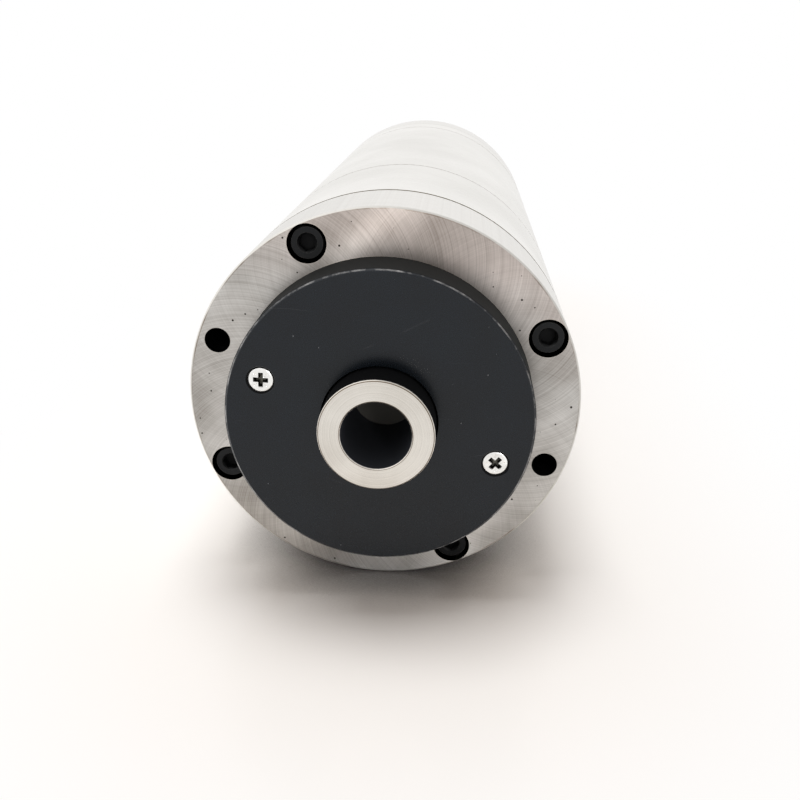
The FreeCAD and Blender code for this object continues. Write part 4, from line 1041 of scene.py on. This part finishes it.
# Steel, plated with bright zinc: white with a slight mottle, and painted shade in the cross recess and
# below it
BRIGHT_ZINC = BandedFinish("bright_zinc_plate", "#F8F7F4", "#E6E5E2", 0.26, lay=Lay.GRAIN, mark_mm=0.6,
                           mark_depth_mm=0.006, stain_mm=3.0, bands=(
                               # Painted shade: the cross recess near black, and the screw below it dark
                               Band((20.0, 40.0), (-12.05, -11.3), "#171512"),
                               Band((20.0, 40.0), (-11.3, 7.0), "#6F6D66"),
                           ))
# Phenolic resin, pressed over fabric and machined: brown with a woven fleck
PHENOLIC = Finish("fabric_phenolic", "#8A5A2C", "#6E431D", 0.5, metallic=0.0, lay=Lay.GRAIN, mark_mm=0.5,
                  mark_depth_mm=0.02, stain_mm=1.2)
# Aluminium of the water sleeve, turned: pale, with coarse rings left by the tool
SLEEVE_ALUMINIUM = Finish("turned_aluminium", "#C6C8CB", "#AFB1B5", 0.34, mark_mm=0.5, mark_depth_mm=0.015)
# Aluminium of the rotor cage, cast under pressure: grainy and dull
CAST_ALUMINIUM = Finish("pressure_cast_aluminium", "#A9ABAC", "#8F9193", 0.48, lay=Lay.GRAIN, mark_mm=0.8,
                        mark_depth_mm=0.03)
# Nitrile rubber, moulded: matt black with a slight bloom
NITRILE = Finish("nitrile_rubber", "#18181A", "#232325", 0.62, metallic=0.0, lay=Lay.GRAIN)
# Electrical sheets of 0.5 mm, stamped, stacked and varnished: grey with dark lines between them
LAMINATIONS = Finish("stacked_electrical_sheet", "#77746F", "#4E4A48", 0.46, lay=Lay.SHEETS, mark_mm=0.5,
                     mark_depth_mm=0.05, unevenness=0.25)
# Spring steel, hardened and tempered: blued, with brown patches
SPRING_STEEL = Finish("blued_spring_steel", "#55596A", "#6B6257", 0.26, mark_mm=0.3, mark_depth_mm=0.004)
# Brass, plated with nickel: bright and slightly yellow, with brass showing at its edges
NICKEL_PLATE = Finish("nickel_plate", "#CFC9BC", "#B9B2A4", 0.22, lay=Lay.GRAIN, mark_mm=0.6,
                      mark_depth_mm=0.004, edge="#D9C38E", edge_mm=0.15)
# Free-cutting brass, turned and handled: dull yellow with fine rings
TURNED_BRASS = Finish("turned_brass", "#C09A52", "#9A7739", 0.3, mark_mm=0.35, mark_depth_mm=0.008)
# Contact pins, flashed with gold: a warm smooth yellow
GOLD_FLASH = Finish("gold_flash", "#D9B25C", "#C79E4C", 0.18, lay=Lay.GRAIN, mark_mm=0.4,
                    mark_depth_mm=0.002)
# Natural nylon, moulded: milky and a little waxy
NYLON = Finish("natural_nylon", "#DDD9CC", "#CDC7B6", 0.42, metallic=0.0, lay=Lay.GRAIN, mark_mm=0.5,
               mark_depth_mm=0.01)
# Glass-filled plastic, moulded in a spark-eroded form: black with a fine texture
BLACK_PLASTIC = Finish("moulded_black_plastic", "#1D1D1F", "#29292B", 0.45, metallic=0.0, lay=Lay.GRAIN,
                       mark_mm=0.25, mark_depth_mm=0.015)
# Copper wire, drawn and varnished: amber brown
COPPER_WIRE = Finish("varnished_copper", "#A4552A", "#7F3C1B", 0.3, metallic=0.8, lay=Lay.GRAIN,
                     mark_mm=0.8, mark_depth_mm=0.02, stain_mm=5.0)
# Aluminium cover, turned, etched and anodised black: a blue cast over a soft sheen, a painted highlight in
# patches along its edge, and painted shade in its holes
BLACK_ANODISED = AnodisedFinish("black_anodised_aluminium", "#0E1822", "#0B121A", 0.26, metallic=0.0,
                                lay=Lay.GRAIN, mark_mm=0.5, mark_depth_mm=0.0012, specular=0.34)


# Sub-assemblies

class SubAssembly:
    """A group of the motor's pieces: it dresses its CAD nodes and adds its detailed pieces."""

    finishes: Dict[str, Finish] = {}

    def dress(self) -> None:
        """Give every CAD node of the group the finish of its own material."""
        for name, finish in self.finishes.items():
            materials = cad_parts[name].data.materials
            materials.clear()
            materials.append(finish.build())
        LOG.info("%s: dressed %d nodes", type(self).__name__, len(self.finishes))

    def add_pieces(self) -> None:
        """Add the group's detailed pieces; a group with none adds nothing."""

    def build(self) -> None:
        """Dress the nodes and add the pieces."""
        self.dress()
        self.add_pieces()


@dataclass(frozen=True)
class Circle:
    """Copies of a piece on a circle round the spindle, each turned by a step from the one before."""

    count: int
    radius_mm: float
    along_mm: float
    first_deg: float = 0.0
    turn_deg: float = 0.0
    turn_step_deg: float = 0.0

    def repeat(self, name: str, piece: bpy.types.Mesh, finish: Finish) -> bpy.types.Mesh:
        """Set the copies of a piece.

        Args:
            name: the new mesh's name.
            piece: the piece.
            finish: the finish of them all.

        Returns:
            One mesh with all the copies.
        """
        return grow(name, circle_tree(), {
            "Count": self.count, "Radius": self.radius_mm * MM, "Along": self.along_mm * MM,
            "First Angle": math.radians(self.first_deg), "Own Turn": math.radians(self.turn_deg),
            "Turn Step": math.radians(self.turn_step_deg), "Finish": finish.build(),
        }, piece)


@dataclass(frozen=True)
class CapScrew:
    """A socket head cap screw of size M5, with a knurled head and its thread cut."""

    length_mm: float
    thread_mm: float = 24.0
    size_mm: float = 5.0
    pitch_mm: float = 0.8
    head_d_mm: float = 8.5
    head_mm: float = 5.0
    edge_mm: float = 0.35
    chamfer_mm: float = 0.3
    step_mm: float = 0.2
    point_mm: float = 0.6
    socket_mm: float = 4.0
    socket_depth_mm: float = 2.6
    mouth_d_mm: float = 5.0
    knurls: int = 32
    knurl_depth_mm: float = 0.12
    knurl_end_mm: float = 0.7
    foot_mm: float = 0.5
    corners: int = 96

    def knurled(self, along: float) -> Ring:
        """Describe a ring of the knurled head.

        Args:
            along: the place along the screw.

        Returns:
            The ring.
        """
        def ring(angle: float) -> Tuple[float, float]:
            """Give the head's radius at an angle, and its place."""
            depth = self.knurl_depth_mm * (1 - math.cos(self.knurls * angle)) / 2
            return self.head_d_mm / 2 - depth, along
        return ring

    def mouth(self) -> Ring:
        """Describe the ring where the socket's flats meet its cone.

        Returns:
            The ring.
        """
        flats = hexagon(self.socket_mm, 0)

        def ring(angle: float) -> Tuple[float, float]:
            """Give the socket's radius at an angle, and the depth at which the cone reaches it."""
            radius = flats(angle)[0]
            return radius, self.mouth_d_mm / 2 - radius
        return ring

    def mesh(self, name: str, way: int = 1) -> bpy.types.Mesh:
        """Build the screw, its head's top at 0.

        Args:
            name: the mesh's name.
            way: 1 if it points along Y, and -1 if it points back.

        Returns:
            The mesh.
        """
        half = self.size_mm / 2
        head = self.head_d_mm / 2
        shank_end = self.length_mm - self.thread_mm
        point = self.length_mm - self.point_mm
        rings = [
            hexagon(self.socket_mm - self.chamfer_mm, self.socket_depth_mm),
            hexagon(self.socket_mm, self.socket_depth_mm - self.step_mm),
            self.mouth(),
            at(self.mouth_d_mm / 2, 0),
            at(head - self.edge_mm, 0),
            at(head - self.knurl_depth_mm, self.edge_mm),
            self.knurled(self.edge_mm + self.chamfer_mm),
            self.knurled(self.head_mm - self.knurl_end_mm),
            at(head - self.knurl_depth_mm, self.head_mm - self.foot_mm),
            at(head - self.chamfer_mm, self.head_mm),
            at(half + self.step_mm, self.head_mm),
            at(half, self.head_mm + self.chamfer_mm),
            at(half, shank_end),
        ]
        rings += thread(self.size_mm, self.pitch_mm, shank_end + self.step_mm, point)
        rings.append(at(half - self.point_mm, self.length_mm))

        def turned_round(ring: Ring) -> Ring:
            """Point a ring's place the screw's way."""
            return lambda angle: (ring(angle)[0], way * ring(angle)[1])
        return turned_mesh(name, [turned_round(ring) for ring in rings], even_angles(self.corners))


@dataclass
class FrontFlange(SubAssembly):
    """The ground flange, its four cap screws and the threads of its two jack holes."""

    screws: Circle = Circle(4, 44.75, 1.0, first_deg=24.0, turn_deg=12.0, turn_step_deg=37.0)
    screw_length_mm: float = 90.0
    jacks: Circle = Circle(2, 44.75, 1.0, first_deg=159.0, turn_step_deg=180.0)
    jack_radius_mm: float = 3.0
    jack_thread_mm: float = 13.0
    jack_pitch_mm: float = 1.0
    jack_ridge_mm: float = 0.35
    finishes = {"front_flange": FLANGE_STEEL, "flange_screws": BLACK_OXIDE}

    def add_pieces(self) -> None:
        """Add the screws and the jack-hole threads."""
        screw = CapScrew(self.screw_length_mm).mesh("flange_screw")
        screws = self.screws.repeat("socket_cap_screws", screw, BLACK_OXIDE)
        keep_piece("socket_cap_screws", screws, ["flange_screws"])
        ridge = grow("jack_thread", helix_tree(), {
            "Pitch": self.jack_pitch_mm * MM, "Turns": self.jack_thread_mm / self.jack_pitch_mm,
            "Radius": self.jack_radius_mm * MM, "Ridge": self.jack_ridge_mm * MM,
            "Finish": FLANGE_STEEL.build(),
        })
        ridges = self.jacks.repeat("jack_hole_threads", ridge, FLANGE_STEEL)
        keep_piece("jack_hole_threads", ridges)


@dataclass
class NoseCover(SubAssembly):
    """The black cover round the nose and its two countersunk cross-recess screws."""

    screws: Circle = Circle(2, 30.3, -12.23, first_deg=160.3, turn_deg=-3.0, turn_step_deg=52.0)
    screw_length_mm: float = 18.73
    head_d_mm: float = 6.0
    head_rim_mm: float = 0.3
    head_edge_mm: float = 0.12
    crown_share: float = 0.93
    pitch_mm: float = 0.5
    neck_mm: float = 0.3
    point_mm: float = 0.4
    recess_width_mm: float = 3.7
    recess_slot_mm: float = 1.15
    recess_depth_mm: float = 1.3
    recess_floor_share: float = 0.45
    recess_edge_mm: float = 0.1
    recess_edge_share: float = 0.97
    tick_depth_mm: float = 0.1
    tick_from_deg: float = 42.5
    tick_span: Span = (0.1, 0.75)
    crown_shares: Tuple[float, ...] = (0.08, 0.12, 0.4, 0.7, 0.78, 1.0)
    finishes = {"nose_cover": BLACK_ANODISED, "cover_screws": BRIGHT_ZINC}

    def cross(self, size: float, along: float) -> Ring:
        """Describe a ring of the cross recess.

        Args:
            size: its size as a share of the recess.
            along: its depth.

        Returns:
            The ring.
        """
        def ring(angle: float) -> Tuple[float, float]:
            """Give the cross's radius at an angle, and its depth.

            Args:
                angle: the angle round the screw.

            Returns:
                The radius and the depth.
            """
            offset = (angle + math.pi / 4) % (math.pi / 2) - math.pi / 4
            end = self.recess_width_mm / 2 / math.cos(offset)
            side = self.recess_slot_mm / 2 / max(abs(math.sin(offset)), NEAR_ZERO)
            return size * min(end, side), along
        return ring

    def ticked(self, share: float) -> Ring:
        """Describe a ring of the head's top, nicked halfway between the wings.

        Args:
            share: how far out it lies, from 0 at the recess to 1 at the rim.

        Returns:
            The ring.
        """
        inner = self.cross(1.0, 0)
        nearest, farthest = self.tick_span

        def ring(angle: float) -> Tuple[float, float]:
            """Give the ring's radius at an angle, and its depth.

            Args:
                angle: the angle round the screw.

            Returns:
                The radius and the depth.
            """
            offset = abs((angle + math.pi / 4) % (math.pi / 2) - math.pi / 4)
            radius = inner(angle)[0] * (1 - share) + self.head_d_mm / 2 * self.crown_share * share
            nicked = offset > math.radians(self.tick_from_deg) and nearest < share < farthest
            return radius, self.tick_depth_mm if nicked else 0.0
        return ring

    def screw_mesh(self) -> bpy.types.Mesh:
        """Build the screw, its head's top at 0.

        Returns:
            The mesh, with a corner at each edge of the cross and of the nicks.
        """
        corner = math.degrees(math.atan(self.recess_slot_mm / self.recess_width_mm))
        stops = [-45, -43, -41, -32, -22, -corner, -7, 0, 7, corner, 22, 32, 41, 43]
        angles = [math.radians(90 * quarter + stop) for quarter in range(4) for stop in stops]
        half = self.head_d_mm / 2
        neck = self.head_rim_mm + half / 2
        rings = [
            self.cross(self.recess_floor_share, self.recess_depth_mm),
            self.cross(self.recess_edge_share, self.recess_edge_mm),
            self.cross(1.0, 0),
            *[self.ticked(share) for share in self.crown_shares],
            at(half, self.head_edge_mm),
            at(half, self.head_rim_mm),
            at(half / 2, neck),
        ]
        rings += thread(half, self.pitch_mm, neck + self.neck_mm, self.screw_length_mm - self.point_mm)
        rings.append(at(half / 2 - self.point_mm, self.screw_length_mm))
        return turned_mesh("cover_screw", rings, angles)

    def add_pieces(self) -> None:
        """Add the two screws."""
        screws = self.screws.repeat("cross_recess_screws", self.screw_mesh(), BRIGHT_ZINC)
        keep_piece("cross_recess_screws", screws, ["cover_screws"])


class Spindle(SubAssembly):
    """The turning shaft with its slinger, nuts, rotor and balance rings."""

    finishes = {
        "spindle_shaft": SHAFT_STEEL,
        "slinger_ring": GROUND_STEEL,
        "front_lock_nut": BLACK_OXIDE,
        "rear_lock_nut": BLACK_OXIDE,
        "inner_spacer": GROUND_STEEL,
        "rotor_core": LAMINATIONS,
        "rotor_cage": CAST_ALUMINIUM,
        "front_balance_ring": TURNED_BRASS,
        "rear_balance_ring": TURNED_BRASS,
    }


class Bearings(SubAssembly):
    """The three ball bearings, their spacers, and the rear one's cartridge and springs."""

    finishes = {
        "outer_spacer": GROUND_STEEL,
        "bearing_cartridge": GROUND_STEEL,
        "preload_springs": SPRING_STEEL,
        **{f"{place}_bearing_{piece}": finish
           for place in ("first", "second", "rear")
           for piece, finish in (("outer_ring", BEARING_STEEL), ("inner_ring", BEARING_STEEL),
                                 ("cage", PHENOLIC), ("balls", BALL_STEEL))},
    }


@dataclass
class MotorBody(SubAssembly):
    """The bright cylinder with its water sleeve, seals, stator and windings."""

    coil_inner_mm: float = 23.4
    coil_outer_mm: float = 33.3
    coil_length_mm: float = 13.8
    coil_corner_mm: float = 2.0
    coil_starts_mm: Tuple[float, float] = (86.1, 182.1)
    wires: int = 46
    wire_d_mm: float = 0.9
    wire_wander_mm: float = 0.9
    finishes = {
        "front_bearing_housing": BODY_STEEL,
        "motor_tube": BODY_STEEL,
        "cooling_sleeve": SLEEVE_ALUMINIUM,
        "front_o_ring": NITRILE,
        "rear_o_ring": NITRILE,
        "stator_core": LAMINATIONS,
        "stator_windings": COPPER_WIRE,
        "rear_bearing_housing": BODY_STEEL,
        "rear_cover": FACED_STEEL,
    }

    def section(self, start: float) -> bpy.types.Mesh:
        """Draw the closed line round the section of an end turn.

        Args:
            start: where the end turn starts along the axis, in millimetres.

        Returns:
            The line, whose X is the radius.
        """
        inner, outer, cut = self.coil_inner_mm, self.coil_outer_mm, self.coil_corner_mm
        end = start + self.coil_length_mm
        points = [
            (inner + cut, start), (outer - cut, start), (outer, start + cut), (outer, end - cut),
            (outer - cut, end), (inner + cut, end), (inner, end - cut), (inner, start + cut),
        ]
        mesh = bpy.data.meshes.new("coil_section")
        edges = [(index, (index + 1) % len(points)) for index in range(len(points))]
        mesh.from_pydata([(across * MM, along * MM, 0) for across, along in points], edges, [])
        return mesh

    def add_pieces(self) -> None:
        """Add the wires that show on the two end turns."""
        tree = wire_tree()
        for label, start in zip(("front", "rear"), self.coil_starts_mm):
            wires = grow(f"{label}_end_turn_wires", tree, {
                "Wires": self.wires, "Wire Diameter": self.wire_d_mm * MM,
                "Wander": self.wire_wander_mm * MM, "Finish": COPPER_WIRE.build(),
            }, self.section(start))
            keep_piece(f"{label}_end_turn_wires", wires)


@dataclass(frozen=True)
class HoseNozzle:
    """A turned brass nozzle: its port thread, its hexagon and its barbs for a hose."""

    bore_d_mm: float = 4.0
    bore_edge_mm: float = 0.3
    thread_d_mm: float = 9.7
    thread_mm: float = 8.0
    pitch_mm: float = 0.9
    thread_lead_mm: float = 0.5
    thread_end_mm: float = 0.3
    point_mm: float = 0.8
    undercut_mm: float = 0.4
    washer_mm: float = 1.5
    hex_mm: float = 13.0
    hex_height_mm: float = 6.0
    hex_chamfer_mm: float = 0.5
    hex_face_mm: float = 0.1
    hex_corner_mm: float = 0.9
    fillet_mm: float = 0.2
    barbs: int = 3
    barb_mm: float = 5.0
    barb_d_mm: float = 8.0
    barb_root_d_mm: float = 6.6
    barb_foot_mm: float = 0.3
    barb_face_mm: float = 0.4
    barb_crest_mm: float = 0.65
    barb_round_mm: float = 0.15
    barb_gap_mm: float = 0.05
    tip_edge_mm: float = 0.7
    corners: int = 96

    def mesh(self) -> bpy.types.Mesh:
        """Build the nozzle.

        Returns:
            The mesh, with the cover's face at 0.
        """
        bore = self.bore_d_mm / 2
        port = self.thread_d_mm / 2
        root = self.barb_root_d_mm / 2
        half = self.hex_mm / 2
        seat = self.washer_mm
        neck = seat + self.hex_height_mm
        rings = [at(bore, -self.thread_mm), at(port - self.point_mm, -self.thread_mm)]
        rings += thread(self.thread_d_mm, self.pitch_mm, -self.thread_mm + self.thread_lead_mm,
                        -self.thread_end_mm)
        rings += [
            at(port - self.undercut_mm, seat),
            hexagon(self.hex_mm, seat, half + self.hex_face_mm),
            hexagon(self.hex_mm, seat + self.hex_chamfer_mm, half + self.hex_corner_mm),
            hexagon(self.hex_mm, neck - self.hex_chamfer_mm, half + self.hex_corner_mm),
            hexagon(self.hex_mm, neck, half + self.hex_face_mm),
            at(root + self.fillet_mm, neck),
            at(root, neck + self.fillet_mm),
        ]
        for barb in range(self.barbs):
            start = neck + barb * self.barb_mm
            rings += [
                at(root, start + self.barb_foot_mm),
                at(self.barb_d_mm / 2 - self.barb_round_mm, start + self.barb_face_mm),
                at(self.barb_d_mm / 2, start + self.barb_crest_mm),
                at(root, start + self.barb_mm - self.barb_gap_mm),
            ]
        tip = neck + self.barbs * self.barb_mm
        rings += [
            at(bore + self.tip_edge_mm, tip),
            at(bore + self.bore_edge_mm, tip),
            at(bore, tip - self.bore_edge_mm),
        ]
        return turned_mesh("hose_nozzle", rings, even_angles(self.corners), bored=True)


@dataclass(frozen=True)
class ThreadedShell:
    """The receptacle's shell: a threaded barrel in the cover, a fluted flange and a threaded mouth."""

    bore_mm: float = 7.0
    bore_edge_mm: float = 0.3
    barrel_mm: float = 8.0
    barrel_length_mm: float = 13.0
    barrel_edge_mm: float = 0.3
    barrel_lead_mm: float = 0.4
    barrel_end_mm: float = 0.5
    undercut_mm: float = 0.4
    flange_mm: float = 13.5
    flange_length_mm: float = 3.0
    flange_foot_mm: float = 0.4
    flange_edge_mm: float = 0.6
    flange_slope_mm: float = 0.5
    flutes: int = 48
    flute_mm: float = 0.25
    neck_mm: float = 0.7
    neck_length_mm: float = 0.9
    thread_d_mm: float = 18.0
    pitch_mm: float = 1.0
    thread_lead_mm: float = 1.0
    thread_end_mm: float = 0.7
    point_mm: float = 0.8
    reach_mm: float = 12.0
    corners: int = 144

    def fluted(self, along: float) -> Ring:
        """Describe a ring of the fluted flange.

        Args:
            along: the place along the axis.

        Returns:
            The ring.
        """
        def ring(angle: float) -> Tuple[float, float]:
            """Give the flange's radius at an angle, and its place."""
            depth = self.flute_mm * (1 - math.cos(self.flutes * angle)) / 2
            return self.flange_mm - depth, along
        return ring

    def mesh(self, seat: float) -> bpy.types.Mesh:
        """Build the shell in its place on the axis.

        Args:
            seat: where the flange sits on the cover, along the axis.

        Returns:
            The mesh.
        """
        foot = seat - self.barrel_length_mm
        face = seat + self.flange_length_mm
        mouth = face + self.reach_mm
        outer = self.thread_d_mm / 2
        rings = [at(self.bore_mm, foot), at(self.barrel_mm - self.barrel_edge_mm, foot)]
        rings += thread(2 * self.barrel_mm, self.pitch_mm, foot + self.barrel_lead_mm,
                        seat - self.barrel_end_mm)
        rings += [
            at(self.barrel_mm - self.undercut_mm, seat),
            at(self.flange_mm - self.flange_foot_mm, seat),
            self.fluted(seat + self.flange_foot_mm),
            self.fluted(face - self.flange_slope_mm),
            at(self.flange_mm - self.flange_edge_mm, face),
            at(outer - self.neck_mm, face),
            at(outer - self.neck_mm, face + self.neck_length_mm),
        ]
        rings += thread(self.thread_d_mm, self.pitch_mm, face + self.thread_lead_mm,
                        mouth - self.thread_end_mm)
        rings += [
            at(outer - self.point_mm, mouth),
            at(self.bore_mm + self.bore_edge_mm, mouth),
            at(self.bore_mm, mouth - self.bore_edge_mm),
        ]
        return turned_mesh("threaded_shell", rings, even_angles(self.corners), bored=True)


@dataclass
class RearEnd(SubAssembly):
    """What stands on the rear cover: its screws, the two hose nozzles and the power receptacle."""

    face_mm: float = 252.0
    screws: Circle = Circle(4, 44.75, 251.0, first_deg=45.0, turn_deg=8.0, turn_step_deg=41.0)
    screw_length_mm: float = 50.0
    nozzles: Circle = Circle(2, 35.0, 252.0, turn_deg=30.0)
    finishes = {
        "rear_screws": BLACK_OXIDE,
        "nozzle_washers": NYLON,
        "hose_nozzles": NICKEL_PLATE,
        "receptacle_shell": NICKEL_PLATE,
        "receptacle_nut": NICKEL_PLATE,
        "receptacle_insert": BLACK_PLASTIC,
        "receptacle_pins": GOLD_FLASH,
    }

    def add_pieces(self) -> None:
        """Add the screws, the nozzles and the shell."""
        screw = CapScrew(self.screw_length_mm).mesh("rear_screw", way=-1)
        screws = self.screws.repeat("rear_cap_screws", screw, BLACK_OXIDE)
        keep_piece("rear_cap_screws", screws, ["rear_screws"])
        nozzles = self.nozzles.repeat("barbed_nozzles", HoseNozzle().mesh(), NICKEL_PLATE)
        keep_piece("barbed_nozzles", nozzles, ["hose_nozzles"])
        shell = ThreadedShell().mesh(self.face_mm)
        shell.materials.append(NICKEL_PLATE.build())
        keep_piece("threaded_shell", shell, ["receptacle_shell"])


# Studio

@dataclass(frozen=True)
class Lamp:
    """A square lamp that looks at the body, with its place and side in metres and its power in watts."""

    name: str
    place: Place
    side: float
    power: float
    shine: Shine = Shine.ALL
    aim: Place = (0, 0.03, 0)

    def hang(self) -> None:
        """Put the lamp into the scene."""
        data = bpy.data.lights.new(self.name, "AREA")
        data.size = self.side
        data.energy = self.power
        lamp = bpy.data.objects.new(self.name, data)
        bpy.context.scene.collection.objects.link(lamp)
        lamp.location = self.place
        lamp.rotation_euler = (Vector(self.aim) - Vector(self.place)).to_track_quat("-Z", "Y").to_euler()
        lamp.visible_diffuse = self.shine is not Shine.GLOSSY
        lamp.visible_glossy = self.shine is not Shine.DULL


# A wide soft lamp for the shine on the left, one from above for the light, and a small one for the glints
LAMPS = (
    Lamp("left_lamp", (-0.79, -0.08, 0.76), 2.0, 6.2),
    Lamp("back_lamp", (-0.05, 0.2, 1.28), 0.6, 10.5, Shine.DULL),
    Lamp("front_lamp", (0.4, -0.87, 0.27), 0.12, 1.5, Shine.GLOSSY),
)


@dataclass
class Studio:
    """The floor, the lamps, the white room and the camera, in metres where a name says nothing else."""

    camera_place_mm: Place = (18.52, -212.69, 85.76)
    camera_turn_deg: float = 3.82
    camera_tilt_deg: float = 21.67
    lens_mm: float = 40.5
    nearest: float = 0.01
    floor_side: float = 12.0
    floor_colour: str = "#FFFDFA"
    floor_roughness: Span = (0.2, 0.28)
    floor_waves: float = 12.0
    floor_white_span: Span = (0.02, 0.15)
    floor_glow: float = 0.02
    # Painted shadow: the dark colour that ambient occlusion mixes into the table near the body
    floor_shade: str = "#3C302A"
    floor_shade_reach: float = 0.024
    floor_shade_span: Span = (0.2, 0.7)
    body_length: float = 0.25
    room_colour: str = "#FFE8D6"
    room_light_span: Span = (-0.5, 0.8)
    room_light: Span = (0.16, 0.5)
    room_mirror_span: Span = (0.1, 0.8)
    room_mirror_side: float = 0.74

    def add_camera(self) -> None:
        """Put the camera where the photograph was taken from."""
        data = bpy.data.cameras.new("camera")
        data.lens = self.lens_mm
        data.clip_start = self.nearest
        camera = bpy.data.objects.new("camera", data)
        bpy.context.scene.collection.objects.link(camera)
        camera.location = Vector(self.camera_place_mm) * MM
        camera.rotation_euler = (
            math.radians(90 - self.camera_tilt_deg), 0, math.radians(self.camera_turn_deg),
        )
        bpy.context.scene.camera = camera

    def add_floor(self) -> None:
        """Lay the glossy white table under the body, painted darker near it as a contact shadow; away from
        the body it fades into the white room.
        """
        half = self.floor_side / 2
        low = CAD_BOX[0][2]
        mesh = bpy.data.meshes.new("floor")
        corners = [(-half, -half, low), (half, -half, low), (half, half, low), (-half, half, low)]
        mesh.from_pydata(corners, [], [(0, 1, 2, 3)])
        floor = add_object("floor", mesh)
        material = bpy.data.materials.new("white_table")
        material.use_nodes = True
        tree = material.node_tree
        tree.nodes.clear()
        spot = add_node(tree, "ShaderNodeTexCoord").outputs["Object"]
        along = add_node(tree, "ShaderNodeSeparateXYZ", [spot]).outputs["Y"]
        along = add_node(tree, "ShaderNodeClamp", [along, 0.0, self.body_length])
        near = add_node(tree, "ShaderNodeCombineXYZ", {"Y": along, "Z": low})
        from_body = add_node(tree, "ShaderNodeVectorMath", [spot, near], operation="DISTANCE")
        far = add_node(tree, "ShaderNodeMapRange", [from_body.outputs["Value"], *self.floor_white_span],
                       interpolation_type="SMOOTHSTEP")
        cloud = add_node(tree, "ShaderNodeTexNoise",
                         {"Vector": spot, "Scale": self.floor_waves, "Detail": 2.0})
        rough = add_node(tree, "ShaderNodeMapRange", [cloud, 0.0, 1.0, *self.floor_roughness])
        # Painted contact shadow, from ambient occlusion, in the table's colour
        sky = add_node(tree, "ShaderNodeAmbientOcclusion", {"Distance": self.floor_shade_reach}, samples=8)
        under = add_node(tree, "ShaderNodeMapRange", [sky.outputs["AO"], *self.floor_shade_span, *FADING])
        shade = add_node(tree, "ShaderNodeMix",
                         {0: under, 6: linear(self.floor_colour), 7: linear(self.floor_shade)},
                         data_type="RGBA")
        table = add_node(tree, "ShaderNodeBsdfPrincipled", {
            "Base Color": shade.outputs[2],
            "Roughness": rough,
            "Emission Color": WHITE,
            "Emission Strength": self.floor_glow,
        })
        white = add_node(tree, "ShaderNodeEmission", {"Color": WHITE, "Strength": 1.0})
        path = add_node(tree, "ShaderNodeLightPath").outputs
        seen = add_node(tree, "ShaderNodeMath", [path["Is Camera Ray"], path["Is Glossy Ray"]],
                        operation="MAXIMUM")
        share = add_node(tree, "ShaderNodeMath", [seen, far], operation="MULTIPLY")
        both = add_node(tree, "ShaderNodeMixShader", [share, table, white])
        add_node(tree, "ShaderNodeOutputMaterial", {"Surface": both})
        mesh.materials.append(material)

    def add_room(self) -> None:
        """Make the room white, with more light from behind, and sides that metal shows as a pale grey."""
        world = bpy.data.worlds.new("white_room")
        bpy.context.scene.world = world
        world.use_nodes = True
        tree = world.node_tree
        tree.nodes.clear()
        path = add_node(tree, "ShaderNodeLightPath").outputs
        clear = add_node(tree, "ShaderNodeMath", [path["Is Camera Ray"], path["Is Transmission Ray"]],
                         operation="MAXIMUM")
        glossy = path["Is Glossy Ray"]
        seen = add_node(tree, "ShaderNodeMath", [clear, glossy], operation="MAXIMUM")
        way = add_node(tree, "ShaderNodeTexCoord").outputs["Generated"]
        back = add_node(tree, "ShaderNodeSeparateXYZ", [way]).outputs["Y"]
        light = add_node(tree, "ShaderNodeMapRange", [back, *self.room_light_span, *self.room_light])
        ends = add_node(tree, "ShaderNodeMath", [back], operation="ABSOLUTE")
        mirror = add_node(tree, "ShaderNodeMapRange",
                          [ends, *self.room_mirror_span, self.room_mirror_side, 1.0])
        strength = add_node(tree, "ShaderNodeMapRange", {0: glossy, 3: light, 4: mirror})
        strength = add_node(tree, "ShaderNodeMapRange", {0: clear, 3: strength, 4: 1.0})
        shade = add_node(tree, "ShaderNodeMix", {0: seen, 6: linear(self.room_colour), 7: WHITE},
                         data_type="RGBA")
        glow = add_node(tree, "ShaderNodeBackground", {"Color": shade.outputs[2], "Strength": strength})
        add_node(tree, "ShaderNodeOutputWorld", {"Surface": glow})

    def build(self) -> None:
        """Set up the whole studio."""
        self.add_camera()
        self.add_floor()
        self.add_room()
        for lamp in LAMPS:
            lamp.hang()
        bpy.context.scene.view_settings.view_transform = "Standard"


def main() -> None:
    """Build the studio and every sub-assembly."""
    logging.basicConfig(level=logging.INFO, format="%(name)s: %(message)s")
    Studio().build()
    for part in (FrontFlange(), NoseCover(), Spindle(), Bearings(), MotorBody(), RearEnd()):
        part.build()


if __name__ == "__main__":
    main()
